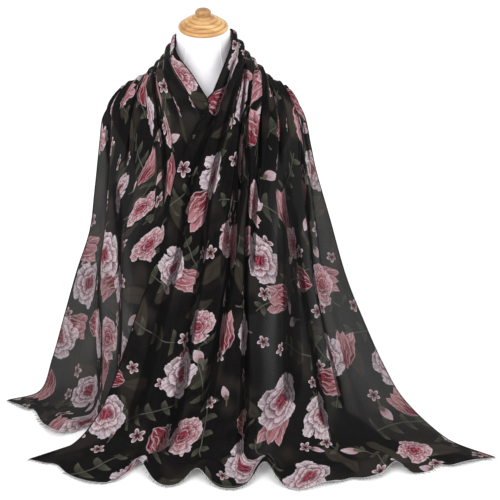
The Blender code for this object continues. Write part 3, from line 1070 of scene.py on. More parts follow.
    def spray(self, at: Place) -> Motif:
        """A curved stem with pairs of leaves that grow smaller towards its tip."""
        paint = self.paint
        bent = Place(at.x, at.y - (at.x * 1.7).sine() * 0.16)
        steps = 2.3
        cell = bent.x * steps
        along = (cell - cell.math("FLOOR") - 0.62) / steps
        taper = bent.x.ramp(1.1, -0.9) * 0.55 + 0.45
        leaf = Place(along, bent.y.size()).scaled(taper)
        own = leaf.turned(-0.70).shifted(0.0, 0.31)
        here, inside = self.petal(own, 0.32, 0.155, 0.02)
        vein = own.x.size().ramp(0.016, 0.005)
        side = ((own.y * 38.0 + own.x.size() * -46.0).sine()).ramp(0.50, 0.95) * 0.5
        green = paint.mix(own.y.ramp(-0.25, 0.25), self.leaf, self.leaf_pale)
        green = paint.mix(vein.math("MAXIMUM", side) * 0.55, green, srgb(34, 36, 30))
        green = paint.mix(inside.ramp(0.022, 0.006) * 0.5, green, srgb(102, 102, 92))
        stem = bent.y.size().ramp(0.020, 0.009)
        within = bent.x.size().ramp(1.0, 0.94)
        return Motif(here.math("MAXIMUM", stem) * within, paint.mix(stem, green, self.leaf_pale))

    def faded_leaf(self, at: Place) -> Motif:
        """A large soft leaf, printed faintly."""
        here, inside = self.petal(at, 0.95, 0.40, 0.12)
        vein = at.x.size().ramp(0.05, 0.01)
        colour = self.paint.mix(vein * 0.6, self.leaf_faded, srgb(48, 42, 38))
        return Motif(here * 0.62, colour)

    def chosen(self, motif: Motif, chance: Number, low: float, high: float) -> Motif:
        """The motif, only where its chance number lies between two limits."""
        above = chance.math("GREATER_THAN", low)
        below = chance.math("LESS_THAN", high)
        return Motif(motif.cover * above * below, motif.colour)

    def motifs(self) -> list[Motif]:
        """All motifs, the lowest first."""
        layers = []
        for draw, scatter, most in (
            (self.faded_leaf, Scatter(0.115, 0.046, 0.35, 3.1, 0.8), 0.62),
            (self.spray, Scatter(0.150, 0.074, 1.05, 7.7, 0.5), 0.86),
            (self.star, Scatter(0.098, 0.0155, 0.20, 12.4, 0.9), 0.72),
            (self.bud, Scatter(0.135, 0.027, 0.70, 21.3, 0.9), 0.80),
            (self.tulip, Scatter(0.180, 0.047, 1.35, 31.9, 0.6), 0.85),
        ):
            at, chance = self.scattered(scatter)
            layers.append(self.chosen(draw(at), chance, 0.0, most))
        at, chance = self.scattered(Scatter(0.182, 0.053, 0.48, 5.6, 0.55))
        layers.append(self.chosen(self.blossom(at, PEONY_RINGS, 0.35, 2.0), chance, 0.0, 0.66))
        rose = self.blossom(at.scaled(0.78), ROSE_RINGS, 1.7, 9.0)
        layers.append(self.chosen(rose, chance, 0.66, 0.94))
        return layers

    def finish(self) -> bpy.types.Material:
        """Mixes ground, weave and motifs, with painted shade where the cloth lies doubled or creased and
        painted light where it lies single, and sets the surface.

        Returns:
            The material.
        """
        paint = self.paint
        slub = paint.noise(paint.join(self.cloth.x * 30.0, self.cloth.y * 700.0), 1.0, 1.0)
        pick = paint.noise(paint.join(self.cloth.x * 700.0, self.cloth.y * 30.0, 4.0), 1.0, 1.0)
        weave = slub + pick - 1.0
        layers = paint.node("ShaderNodeAttribute", attribute_name=LAYERS_ATTRIBUTE)
        layered = paint.number(layers.outputs["Fac"])
        single = -layered + 1.0
        threads = (weave * 2.0 + 0.5).ramp(0.0, 1.0)
        # Painted light and shade: the ground is lighter where the cloth lies single, for light shining
        # through it, and darker where it lies doubled.
        dark = paint.mix(threads, srgb(8, 7, 8), srgb(17, 15, 16))
        light = paint.mix(threads, srgb(20, 19, 19), srgb(38, 36, 35))
        colour = paint.mix(single, dark, light)
        cover = None
        if self.printed:
            cloud = paint.noise(self.flat, 9.0, 2.0)
            colour = paint.mix(cloud.ramp(0.50, 0.66) * 0.75, colour, srgb(46, 42, 38))
            for motif in self.motifs():
                shown = motif.cover * (single * -self.single_fading + 0.96)
                colour = paint.mix(shown, colour, motif.colour)
                cover = shown if cover is None else cover.math("MAXIMUM", shown)
            colour = paint.mix((weave * 0.7).size().ramp(0.0, 0.5) * 0.32, colour, self.ground)
            # Painted shade: the cloth is darkened towards near-black in its creases, where the layers lie
            # closest; print_depth darkens it evenly everywhere.
            valley = layered.ramp(0.88, 1.0)
            colour = paint.mix(valley * 0.62 + self.print_depth, colour, srgb(6, 5, 6))
        paint.set("Base Color", colour)
        slant = paint.node("ShaderNodeLayerWeight", {"Blend": 0.5})
        facing = paint.number(slant.outputs["Facing"])
        sheer = single * self.sheerness * (facing * -0.75 + 1.0) + 0.004
        if cover is not None:
            sheer = sheer * (cover * -0.45 + 1.0)
        paint.set("Alpha", -(sheer * (weave * -1.2 + 1.0)) + 1.0)
        paint.set("Roughness", 0.78)
        paint.set("Specular IOR Level", 0.06)
        paint.set("Sheen Weight", 0.005)
        paint.set("Sheen Roughness", 0.5)
        wrinkle = paint.noise(paint.join(self.cloth.x * 85.0, self.cloth.y * 9.0, 2.0), 1.0, 2.0)
        paint.relief(wrinkle + weave * 0.12, 0.0018, 0.6)
        return paint.material


class Finish:
    """A finish, which dresses a material of its own."""

    def dress(self, paint: Paint) -> None:
        """Sets the surface."""
        raise NotImplementedError

    def material(self, name: str) -> bpy.types.Material:
        """Builds the material.

        Args:
            name: The material's name.

        Returns:
            The material.
        """
        paint = Paint(name)
        self.dress(paint)
        return paint.material


@dataclass(frozen=True)
class YarnFinish(Finish):
    """Loose yarn of the frayed hems."""

    colour: Colour = srgb(132, 122, 124)
    dark: Colour = srgb(30, 26, 28)

    def dress(self, paint: Paint) -> None:
        """Sets the surface."""
        tone = paint.noise(paint.coordinates(), 160.0, 2.0)
        paint.set("Base Color", paint.mix(tone.ramp(0.40, 0.66), self.dark, self.colour))
        paint.set("Roughness", 0.85)
        paint.relief(paint.noise(paint.coordinates(), 1400.0, 1.0), 0.0002)


@dataclass(frozen=True)
class CoverFinish(Finish):
    """Smooth white jersey over the padded torso, with a faint painted glow."""

    colour: Colour = srgb(248, 246, 249)
    shade: Colour = srgb(238, 235, 240)
    glow: float = 0.09

    def dress(self, paint: Paint) -> None:
        """Sets the surface."""
        x, y, z = paint.split(paint.coordinates())
        rib = (y.math("ARCTAN2", x) * 420.0).sine() * 0.5
        course = (z * 2600.0).sine() * 0.5
        cloud = paint.noise(paint.coordinates(), 14.0, 2.0)
        # Painted light: a faint emission makes the white cover glow, so that it stays bright beside the dark
        # cloth.
        paint.set("Emission Color", self.colour)
        paint.set("Emission Strength", self.glow)
        paint.set("Base Color", paint.mix(cloud.ramp(0.3, 0.7), self.shade, self.colour))
        paint.set("Roughness", 0.82)
        paint.set("Sheen Weight", 0.12)
        paint.relief(rib + course, 0.00025, 0.35)


@dataclass(frozen=True)
class WoodFinish(Finish):
    """Varnished honey-coloured wood, turned about the vertical."""

    pale: Colour = srgb(226, 184, 120)
    mid: Colour = srgb(202, 152, 86)
    dark: Colour = srgb(160, 108, 52)
    # The colour of the painted shade in the grooves; the knob above its foot is also darkened towards it.
    groove: Colour = srgb(122, 78, 34)
    first_groove: float = 0.8078
    groove_step: float = 0.0052
    knob_foot: float = 0.822
    knob_waist: float = 0.832

    def dress(self, paint: Paint) -> None:
        """Sets the surface."""
        x, y, z = paint.split(paint.coordinates())
        grain = paint.join(x * 9.0, y * 70.0, z * 70.0)
        figure = paint.noise(grain, 2.2, 4.0, 0.62)
        wide = paint.noise(paint.join(x * 5.0, y * 22.0, z * 22.0), 1.4, 2.0)
        colour = paint.mix(figure.ramp(0.30, 0.66), self.dark, self.mid)
        colour = paint.mix(wide.ramp(0.42, 0.70) * 0.8, colour, self.pale)
        # Painted shade: darker in the inner corner of each turned step of the cap.
        tier = ((z - self.first_groove) * (2 * math.pi / self.groove_step)).cosine()
        colour = paint.mix(tier.ramp(0.55, 1.0) * 0.55, colour, self.groove)
        colour = paint.mix(z.ramp(self.knob_foot, self.knob_waist) * 0.45, colour, self.groove)
        paint.set("Base Color", colour)
        paint.set("Roughness", figure * 0.16 + 0.26)
        paint.set("Coat Weight", 0.35)
        paint.set("Coat Roughness", 0.14)
        paint.relief(figure, 0.0003, 0.4)


@dataclass(frozen=True)
class MetalFinish(Finish):
    """Brushed steel of the pole."""

    colour: Colour = srgb(196, 196, 200)

    def dress(self, paint: Paint) -> None:
        """Sets the surface."""
        x, y, z = paint.split(paint.coordinates())
        brushing = paint.noise(paint.join(x * 20.0, y * 20.0, z * 1800.0), 1.0, 3.0)
        paint.set("Base Color", paint.mix(brushing * 0.5, self.colour, srgb(150, 150, 156)))
        paint.set("Metallic", 1.0)
        paint.set("Roughness", brushing * 0.22 + 0.2)
        paint.relief(brushing, 0.0001, 0.4)


@dataclass(frozen=True)
class PaintFinish(Finish):
    """White powder coat of the base."""

    colour: Colour = srgb(236, 235, 236)

    def dress(self, paint: Paint) -> None:
        """Sets the surface."""
        grain = paint.noise(paint.coordinates(), 900.0, 2.0)
        wear = paint.noise(paint.coordinates(), 30.0, 3.0)
        paint.set("Base Color", paint.mix(wear.ramp(0.4, 0.7) * 0.4, self.colour, srgb(216, 214, 214)))
        paint.set("Roughness", grain * 0.2 + 0.38)
        paint.relief(grain, 0.0002, 0.5)


@dataclass(frozen=True)
class BackdropFinish(Finish):
    """Matt white paper of the studio."""

    colour: Colour = (0.90, 0.90, 0.90)
    glow: float = 0.12

    def dress(self, paint: Paint) -> None:
        """Sets the surface."""
        paint.set("Base Color", self.colour)
        paint.set("Emission Color", self.colour)
        paint.set("Emission Strength", self.glow)
        paint.set("Roughness", 0.95)
        paint.set("Specular IOR Level", 0.0)


@dataclass
class DressForm:
    """The limbless torso with its neck, its turned cap, its pole and its base."""

    segments: int = 96
    rings: int = 110
    cap_segments: int = 96
    pole_segments: int = 64
    base_segments: int = 96
    bottom: float = 0.200
    base_radius: float = 0.120
    base_height: float = 0.018
    base_middle: float = 0.030
    pole_radius: float = 0.011
    flange_radius: float = 0.040
    seam_radius: float = 0.0009
    seam_offset: int = 11
    contact_gap: float = 0.0003
    collar_foot: float = 0.120
    collar_top: float = 0.142
    collar_depth: float = 0.003
    flange_height: float = 0.006
    bevel: float = 0.001
    rim_rounding: float = 0.003
    sharp_angle: float = math.radians(40)

    def torso_grid(self, rings: int, segments: int) -> np.ndarray:
        """The torso's surface as rings of points.

        Args:
            rings: Number of rings.
            segments: Number of points round each ring.

        Returns:
            The grid of points.
        """
        rows = smooth_rows(np.array(FORM_RINGS), np.linspace(0, len(FORM_RINGS) - 1, rings))
        angles = np.arange(segments) * 2 * math.pi / segments
        depth = np.where(np.sin(angles) > 0, rows[:, 3:4], rows[:, 2:3])
        x = rows[:, 1:2] * np.cos(angles)
        y = depth * np.sin(angles)
        z = np.repeat(rows[:, :1], segments, axis=1)
        return np.stack([x, y, z], axis=2)

    def surface(self) -> BVHTree:
        """The torso's surface for the cloth to clear."""
        grid = self.torso_grid(self.rings, self.segments)
        faces = grid_faces(self.rings, self.segments, closed=True)
        return BVHTree.FromPolygons(grid.reshape(-1, 3).tolist(), faces)

    def build_torso(self) -> bpy.types.Object:
        """Builds the covered torso with its seams.

        Returns:
            The torso.
        """
        grid = self.torso_grid(self.rings, self.segments)
        points = [grid.reshape(-1, 3)]
        faces: list[tuple[int, ...]] = list(grid_faces(self.rings, self.segments, closed=True))
        faces.append(tuple(range(self.segments)))
        last = (self.rings - 1) * self.segments
        faces.append(tuple(range(last, last + self.segments)))
        count = len(points[0])
        quarter = self.segments // 4
        aside = self.seam_offset
        back = (quarter - aside, quarter + aside)
        front = (3 * quarter - aside, 3 * quarter + aside)
        for column in (0, *back, 2 * quarter, *front):
            seam, seam_faces = tube(grid[1:-1, column], self.seam_radius, 5)
            points.append(seam)
            faces += [tuple(corner + count for corner in face) for face in seam_faces]
            count += len(seam)
        torso = mesh_object("covered_torso", np.concatenate(points), faces)
        turn_outwards(torso)
        return place_piece(torso, CoverFinish().material("white_jersey"), Slot.COVER, Node.TORSO)

    def build_cap(self) -> bpy.types.Object:
        """Builds the turned cap with rounded rings.

        Returns:
            The cap.
        """
        outline = np.array(CAP_OUTLINE)
        fine = smooth_rows(outline, np.linspace(0, len(outline) - 1, 6 * len(outline)))
        points = [TurnPoint(max(radius, 0.001), height) for radius, height in fine]
        cap = turned_solid("turned_cap", points, self.cap_segments)
        return place_piece(cap, WoodFinish().material("honey_wood_grain"), Slot.WOOD, Node.CAP)

    def build_stand(self) -> None:
        """Builds the pole with its flange and collar, and the round base."""
        top = self.bottom - self.contact_gap
        collar = self.pole_radius + self.collar_depth
        pole = turned_solid(
            "steel_pole",
            [
                TurnPoint(self.pole_radius, self.base_height + self.contact_gap),
                TurnPoint(self.pole_radius, self.collar_foot),
                TurnPoint(collar, self.collar_foot + self.bevel),
                TurnPoint(collar, self.collar_top - self.bevel),
                TurnPoint(self.pole_radius, self.collar_top),
                TurnPoint(self.pole_radius, top - self.flange_height),
                TurnPoint(self.flange_radius - self.bevel, top - self.flange_height),
                TurnPoint(self.flange_radius, top - self.flange_height + self.bevel),
                TurnPoint(self.flange_radius, top),
            ],
            self.pole_segments,
        )
        pole.data.set_sharp_from_angle(angle=self.sharp_angle)
        place_piece(pole, MetalFinish().material("brushed_steel"), Slot.METAL, Node.POLE)
        rim = [
            TurnPoint(
                self.base_radius - self.rim_rounding * (1 - math.sin(angle)),
                self.base_height - self.rim_rounding * (1 - math.cos(angle)),
            )
            for angle in np.linspace(math.pi / 2, 0, 7)
        ]
        base = turned_solid(
            "painted_base",
            [
                TurnPoint(self.base_radius - self.bevel, 0.0),
                TurnPoint(self.base_radius, self.bevel),
                *rim,
                TurnPoint(self.base_middle, self.base_height),
            ],
            self.base_segments,
        )
        base.data.set_sharp_from_angle(angle=self.sharp_angle)
        place_piece(base, PaintFinish().material("white_powder_coat"), Slot.PAINT, Node.BASE)


@dataclass
class Fall:
    """What is laid on one fall of the scarf."""

    folds: tuple[Fold, ...]
    waves: tuple[HemWave, ...]
    curls: tuple[Curl, ...]
    creases: tuple[Crease, ...]
    buckles: tuple[Buckle, ...]
    doubled: tuple[tuple[float, float], ...]
    seed: int
    drag_lines: int = 54
    drag_width: tuple[float, float] = (0.007, 0.016)
    drag_height: tuple[float, float] = (0.0004, 0.0017)
    onset: float = 0.20
    wave_reach: float = 0.16
    curl_reach: float = 0.10
    edge_softness: float = 0.025

    def height(self, u: np.ndarray, progress: np.ndarray) -> np.ndarray:
        """How far the folds and drag lines stand out.

        Args:
            u: Shares of the cloth's width.
            progress: How far down the fall each row lies, as a column.

        Returns:
            Heights by row and column.
        """
        height = np.zeros(np.broadcast(u, progress).shape)
        for fold in self.folds:
            centre = fold.at_neck + (fold.at_hem - fold.at_neck) * progress
            width = fold.width_neck + (fold.width_hem - fold.width_neck) * progress
            tall = fold.height_chest + (fold.height_hem - fold.height_chest) * progress
            height += tall * ease(progress / self.onset) * bump(u, centre, width)
        chance = np.random.default_rng(self.seed)
        for _ in range(self.drag_lines):
            start, end = np.sort(chance.uniform(0.0, 1.15, 2))
            end = max(end, start + 0.2)
            centre = chance.uniform(0.0, 1.0) + chance.normal(0, 0.06) * progress
            centre = centre + chance.normal(0, 0.008) * np.sin(progress * chance.uniform(3, 9) + start * 9)
            width = chance.uniform(*self.drag_width)
            tall = chance.uniform(*self.drag_height) * chance.choice([-0.6, 1.0, 1.0])
            fade = ease((progress - start) / 0.12) * ease((end - progress) / 0.15)
            height += tall * fade * bump(u, centre, width)
        for crease in self.creases:
            centre, fade = self.line_of(crease, progress)
            height -= crease.depth * fade * bump(u, centre, crease.width)
        for buckle in self.buckles:
            share = (u - buckle.start[0]) / (buckle.end[0] - buckle.start[0])
            middle = buckle.start[1] + (buckle.end[1] - buckle.start[1]) * share
            fade = ease(share / 0.25 + 0.2) * ease((1 - share) / 0.25 + 0.2)
            height += buckle.height * fade * bump(progress, middle, buckle.width)
        return height

    def line_of(
        self, crease: Crease, progress: np.ndarray, grow: float = 0.08
    ) -> tuple[np.ndarray, np.ndarray]:
        """Where a crease lies across each row, and how strongly it shows there.

        Args:
            crease: The crease.
            progress: How far down the fall each row lies.
            grow: The share of the fall that it takes to grow or fade.

        Returns:
            Its place and its strength in each row.
        """
        starting = ease((progress - crease.line[0][0]) / grow + 0.35)
        ending = ease((crease.line[-1][0] - progress) / grow + 0.35)
        return along_line(progress, crease.line), starting * ending

    def density(self, u: np.ndarray, progress: np.ndarray) -> np.ndarray:
        """How closely the cloth lies in layers, from 0 where single to 1 where doubled."""
        edge = along_line(progress, self.doubled)
        density = DOUBLED_DENSITY * ease((edge - u) / self.edge_softness + 0.5)
        for crease in self.creases:
            centre, fade = self.line_of(crease, progress)
            density = density + crease.density * fade * bump(u, centre, crease.width * 1.1)
        return np.clip(density, 0.0, 1.0)

    def forward(self, u: np.ndarray, progress: np.ndarray) -> np.ndarray:
        """How far the hem's lobes and notches move the cloth forward."""
        fade = ease((progress - 1 + self.wave_reach) / self.wave_reach)
        return fade * sum(wave.forward * bump(u, wave.place, wave.width) for wave in self.waves)

    def rise(self, u: np.ndarray, progress: np.ndarray) -> np.ndarray:
        """How far the hem curls up off the floor."""
        fade = ease((progress - 1 + self.curl_reach) / self.curl_reach) ** 2
        return fade * sum(curl.rise * bump(u, curl.place, curl.width) for curl in self.curls)


@dataclass
class Stretch:
    """One stretch of the scarf between shoulders and hems, and what it stands for."""

    name: str
    node: Node
    first: int
    last: int
    flat: tuple[float, float]
    fringe: Node | None = None
    hem_at_start: bool = False

    @property
    def rows(self) -> slice:
        """Its rows of the strip."""
        return slice(self.first, self.last + 1)


@dataclass
class Fringe:
    """An eyelash fringe along a hem, from Geometry Nodes with its instances realized."""

    spacing: float = 0.0021
    length: float = 0.0085
    radius: float = 0.00028
    seed: int = 7
    strip_width: float = 0.0007
    floor_gap: float = 0.0002
    stray_low: Point = (-0.42, -0.42, -0.10)
    stray_high: Point = (0.42, 0.42, 0.22)
    shortest: float = 0.45
    longest: float = 1.15

    def strand(self, tree: bpy.types.NodeTree, radius: bpy.types.NodeSocket) -> bpy.types.NodeSocket:
        """One tapered strand, 1 long along +Z with a slight bend.

        Args:
            tree: The node tree.
            radius: The strand's radius as a share of its length.

        Returns:
            The strand's mesh.
        """
        bend = {
            "Resolution": 4,
            "Start": (0.0, 0.0, 0.0),
            "Middle": (0.0, 0.0, 0.55),
            "End": (0.12, 0.0, 1.0),
        }
        line = add_node(tree, "GeometryNodeCurveQuadraticBezier", bend)
        ring = add_node(tree, "GeometryNodeCurvePrimitiveCircle", {"Resolution": 3, "Radius": radius})
        along = add_node(tree, "GeometryNodeSplineParameter")
        limits = {"Value": along.outputs["Factor"], "To Min": 1.0, "To Max": 0.25}
        thin = add_node(tree, "ShaderNodeMapRange", limits)
        lines = {"Curve": line.outputs[0], "Radius": thin.outputs["Result"]}
        taper = add_node(tree, "GeometryNodeSetCurveRadius", lines)
        shape = {"Curve": taper.outputs[0], "Profile Curve": ring.outputs[0], "Fill Caps": True}
        solid = add_node(tree, "GeometryNodeCurveToMesh", shape)
        return solid.outputs[0]

    def tree(self) -> tuple[bpy.types.NodeTree, dict[str, str]]:
        """The tree that plants strands along a line of hem points.

        Returns:
            The tree, and the identifier of each named input.
        """
        tree = bpy.data.node_groups.new("eyelash_fringe", "GeometryNodeTree")
        face = tree.interface
        face.new_socket("Geometry", in_out="INPUT", socket_type="NodeSocketGeometry")
        names = {}
        for name, kind in (
            ("Spacing", "NodeSocketFloat"),
            ("Length", "NodeSocketFloat"),
            ("Radius Share", "NodeSocketFloat"),
            ("Seed", "NodeSocketInt"),
            ("Yarn", "NodeSocketMaterial"),
        ):
            names[name] = face.new_socket(name, in_out="INPUT", socket_type=kind).identifier
        face.new_socket("Geometry", in_out="OUTPUT", socket_type="NodeSocketGeometry")
        given = add_node(tree, "NodeGroupInput").outputs
        line = add_node(tree, "GeometryNodeMeshToCurve", {"Mesh": given["Geometry"]})
        steps = {"Curve": line.outputs[0], "Length": given["Spacing"]}
        spaced = add_node(tree, "GeometryNodeResampleCurve", steps, mode="LENGTH")
        outward = add_node(
            tree, "GeometryNodeInputNamedAttribute", {"Name": "outward"}, data_type="FLOAT_VECTOR"
        )
        spread = {0: self.stray_low, 1: self.stray_high, "Seed": given["Seed"]}
        stray = add_node(tree, "FunctionNodeRandomValue", spread, data_type="FLOAT_VECTOR")
        aim = add_node(tree, "ShaderNodeVectorMath", {0: outward.outputs[0], 1: stray.outputs[0]})
        turn = add_node(tree, "FunctionNodeAlignRotationToVector", {"Vector": aim.outputs[0]}, axis="Z")
        lengths = {2: self.shortest, 3: self.longest, "Seed": given["Seed"]}
        reach = add_node(tree, "FunctionNodeRandomValue", lengths, data_type="FLOAT")
        both = {0: reach.outputs[1], 1: given["Length"]}
        size = add_node(tree, "ShaderNodeMath", both, operation="MULTIPLY")
        plants = {
            "Points": spaced.outputs[0],
            "Instance": self.strand(tree, given["Radius Share"]),
            "Rotation": turn.outputs[0],
            "Scale": size.outputs[0],
        }
        planted = add_node(tree, "GeometryNodeInstanceOnPoints", plants)
        real = add_node(tree, "GeometryNodeRealizeInstances", {0: planted.outputs[0]})
        dress = {"Geometry": real.outputs[0], "Material": given["Yarn"]}
        dressed = add_node(tree, "GeometryNodeSetMaterial", dress)
        add_node(tree, "NodeGroupOutput", {0: dressed.outputs[0]})
        return tree, names

    def build(
        self, name: str, hem: np.ndarray, outward: np.ndarray, yarn: bpy.types.Material
    ) -> bpy.types.Object:
        """Builds the fringe and its frayed line.

        Args:
            name: The piece's name.
            hem: Points along the hem.
            outward: The direction that the strands take at each point.
            yarn: The strands' material.

        Returns:
            The piece.
        """
        mesh = bpy.data.meshes.new(name + "_line")
        mesh.from_pydata(hem.tolist(), [(step, step + 1) for step in range(len(hem) - 1)], [])
        layer = mesh.attributes.new("outward", "FLOAT_VECTOR", "POINT")
        layer.data.foreach_set("vector", outward.astype(np.float32).ravel())
        source = add_object(name + "_line", mesh)
        tree, names = self.tree()
        planted = source.modifiers.new("fringe", "NODES")
        planted.node_group = tree
        planted[names["Spacing"]] = self.spacing
        planted[names["Length"]] = self.length
        planted[names["Radius Share"]] = self.radius / self.length
        planted[names["Seed"]] = self.seed
        planted[names["Yarn"]] = yarn
        bpy.context.view_layer.update()
        made = bpy.data.meshes.new_from_object(source.evaluated_get(bpy.context.evaluated_depsgraph_get()))
        bpy.data.objects.remove(source, do_unlink=True)
        work = bmesh.new()
        work.from_mesh(made)
        strip, strip_faces = tube(hem + outward * self.strip_width * 0.5, self.strip_width * 0.4, 5)
        corners = [work.verts.new(point) for point in strip]
        for face in strip_faces:
            work.faces.new([corners[corner] for corner in face])
        for vertex in work.verts:
            vertex.co.z = max(vertex.co.z, self.floor_gap)
        work.to_mesh(made)
        work.free()
        made.name = name
        made.shade_smooth()
        return add_object(name, made)


@dataclass
class Scarf:
    """The scarf as one strip of cloth, from the under fall's hem to the over fall's."""

    columns: int = 301
    under_rows: int = 151
    neck_rows: int = 61
    over_rows: int = 191
    crowding: float = 1.25
    gather_reach: float = 0.32
    form_clearance: float = 0.0014
    layer_clearance: float = 0.0044
    mid_wall: float = 0.0007
    selvedge_radius: float = 0.0011
    rolled_layers: float = 0.86
    neck_pleats: int = 44
    pleat_reach: tuple[float, float] = (0.12, 0.55)
    pleat_height: tuple[float, float] = (0.0004, 0.0014)
    pleat_width: tuple[float, float] = (0.007, 0.014)
    form_search: float = 0.05
    layer_search: float = 0.012
    tuck_weight: float = 0.30
    tuck_width: float = 0.010
    tuck_fade: float = 0.34
    crease_tuck: float = 60
    print_smoothing: int = 41
    fringe_combing: int = 31
    fringe_flattening: float = 0.4
    selvedge_sides: int = 6
    under: Fall = field(
        default_factory=lambda: Fall(
            UNDER_FOLDS, UNDER_WAVES, UNDER_CURLS, UNDER_CREASES, UNDER_BUCKLES, UNDER_DOUBLED, 11
        )
    )
    over: Fall = field(
        default_factory=lambda: Fall(
            OVER_FOLDS, OVER_WAVES, OVER_CURLS, OVER_CREASES, OVER_BUCKLES, OVER_DOUBLED, 23
        )
    )

    def places(self) -> np.ndarray:
        """Where the rows lie along the strip, closer together at the shoulders."""
        under = LEFT_SEAM * (1 - (1 - np.linspace(0, 1, self.under_rows)) ** self.crowding)
        neck = np.linspace(LEFT_SEAM, RIGHT_SEAM, self.neck_rows)
        span = LAST_SECTION - RIGHT_SEAM
        over = RIGHT_SEAM + span * np.linspace(0, 1, self.over_rows) ** self.crowding
        return np.concatenate([under, neck[1:], over[1:]])

    def across(self) -> np.ndarray:
        """Shares of the cloth's width, as a row."""
        return np.linspace(0, 1, self.columns)[None, :]

    def falls(self, places: np.ndarray) -> tuple[tuple[np.ndarray, Fall], ...]:
        """The rows of each fall, and what is laid on it."""
        return (places < LEFT_SEAM, self.under), (places > RIGHT_SEAM, self.over)

    def progress(self, places: np.ndarray) -> np.ndarray:
        """How far down its fall each row lies, 0 at the shoulders and 1 at the hems, as a column."""
        under = (LEFT_SEAM - places) / LEFT_SEAM
        over = (places - RIGHT_SEAM) / (LAST_SECTION - RIGHT_SEAM)
        return np.maximum(np.maximum(under, over), 0.0)[:, None]

    def gathers(self, u: np.ndarray, progress: np.ndarray) -> np.ndarray:
        """The pleats that the cloth is gathered into round the neck, broad and fine."""
        fade = 1 - ease(progress / self.gather_reach)
        height = sum(pleat.height * bump(u, pleat.place, pleat.width) for pleat in GATHERS) * fade
        chance = np.random.default_rng(5)
        for _ in range(self.neck_pleats):
            centre = chance.uniform(0.0, 1.0) + chance.normal(0.0, 0.02) * progress / self.gather_reach
            reach = chance.uniform(*self.pleat_reach)
            tall = chance.uniform(*self.pleat_height)
            fine = tall * bump(u, centre, chance.uniform(*self.pleat_width))
            height = height + fine * (1 - ease(progress / reach))
        return height

    def push_clear(self, grid: np.ndarray, tree: BVHTree, clearance: float, reach: float) -> None:
        """Moves points that lie inside a surface, or near it, out to the clearance.

        Args:
            grid: The points, changed in place.
            tree: The surface.
            clearance: How far to stay off it.
            reach: How far to look for it.
        """
        for index in np.ndindex(grid.shape[:2]):
            point = Vector(grid[index])
            place, normal, _, _ = tree.find_nearest(point, reach)
            if place is not None and (point - place).dot(normal) < clearance:
                grid[index] = place + normal * clearance

    def shape(self, form: BVHTree) -> tuple[np.ndarray, np.ndarray]:
        """Lays the strip over the form.

        Args:
            form: The torso's surface.

        Returns:
            The grid of points, and the place of each row along the strip.
        """
        places = self.places()
        u = self.across()
        progress = self.progress(places)
        inner, middle, outer = np.moveaxis(smooth_rows(SECTIONS, places), 1, 0)[:, :, None]
        share = u[..., None]
        grid = (2 * share - 1) * (share - 1) * inner + 4 * share * (1 - share) * middle
        grid = grid + share * (2 * share - 1) * outer
        grid[..., 2] = np.maximum(grid[..., 2], 0.0)
        self.push_clear(grid, form, self.form_clearance, self.form_search)
        height = self.gathers(u, progress)
        forward = np.zeros_like(height)
        rise = np.zeros_like(height)
        for rows, fall in self.falls(places):
            height[rows] += fall.height(u, progress[rows])
            forward[rows] = fall.forward(u, progress[rows])
            rise[rows] = fall.rise(u, progress[rows])
        below = self.laid(grid, height, forward, rise)[places < LEFT_SEAM]
        faces = [face[::-1] for face in grid_faces(*below.shape[:2])]
        tree = BVHTree.FromPolygons(below.reshape(-1, 3).tolist(), faces)
        above = grid[places > RIGHT_SEAM]
        self.push_clear(above, tree, self.layer_clearance, self.layer_search)
        grid[places > RIGHT_SEAM] = above
        return self.laid(grid, height, forward, rise), places

    def density(self, places: np.ndarray) -> np.ndarray:
        """How closely the cloth lies in layers at each point of the strip."""
        u = self.across()
        progress = self.progress(places)
        density = np.full((len(places), self.columns), DOUBLED_DENSITY)
        for rows, fall in self.falls(places):
            density[rows] = fall.density(u, progress[rows])
        return density

    def laid(
        self, grid: np.ndarray, height: np.ndarray, forward: np.ndarray, rise: np.ndarray
    ) -> np.ndarray:
        """The strip with its folds, lobes and curls laid on it."""
        made = grid + grid_normals(grid) * (height[..., None] + self.mid_wall)
        made[..., 1] -= forward
        made[..., 2] += rise
        made[..., 2] = np.maximum(made[..., 2], self.mid_wall)
        return made

    def flat_places(self, grid: np.ndarray, places: np.ndarray) -> np.ndarray:
        """Where each point lies on the flat cloth, in metres.

        Args:
            grid: The laid strip.
            places: The place of each row.

        Returns:
            Flat coordinates by row and column.
        """
        steps = np.linalg.norm(np.diff(grid, axis=0), axis=2)
        smooth = running_mean(steps.T, self.print_smoothing).T
        length = np.concatenate([np.zeros((1, grid.shape[1])), np.cumsum(smooth, axis=0)])
        middle = int(np.argmin(np.abs(places - 0.5 * (LEFT_SEAM + RIGHT_SEAM))))
        length = length - length[middle]
        steps = np.linalg.norm(np.diff(grid, axis=1), axis=2)
        shown = np.concatenate([np.zeros((len(grid), 1)), np.cumsum(steps, axis=1)], axis=1)
        shown = shown * np.minimum(CLOTH_WIDTH / shown[:, -1:], 1.0)
        width = shown + (CLOTH_WIDTH - shown[:, -1:]) * self.tucked(places)
        return np.stack([width, length], axis=2)

    def tucked(self, places: np.ndarray) -> np.ndarray:
        """The share of the cloth hidden in tucks that lies before each point of a row, from 0 to 1."""
        u = self.across()
        progress = self.progress(places)
        share = np.repeat(0.10 * u, len(places), axis=0)
        fade = 1 - ease(progress / (1.7 * self.gather_reach))
        for before, after in zip(GATHERS, GATHERS[1:], strict=False):
            valley = 0.5 * (before.place + after.place)
            share += self.tuck_weight * fade * (1 + np.tanh((u - valley) / self.tuck_width))
        for rows, fall in self.falls(places):
            for crease in fall.creases:
                if crease.depth > 0:
                    centre, strength = fall.line_of(crease, progress[rows], self.tuck_fade)
                    step = 1 + np.tanh((u - centre) / crease.width)
                    begun = ease(progress[rows] / 0.45)
                    share[rows] += self.crease_tuck * crease.depth * strength * begun * step
        share -= share[:, :1]
        return share / share[:, -1:]

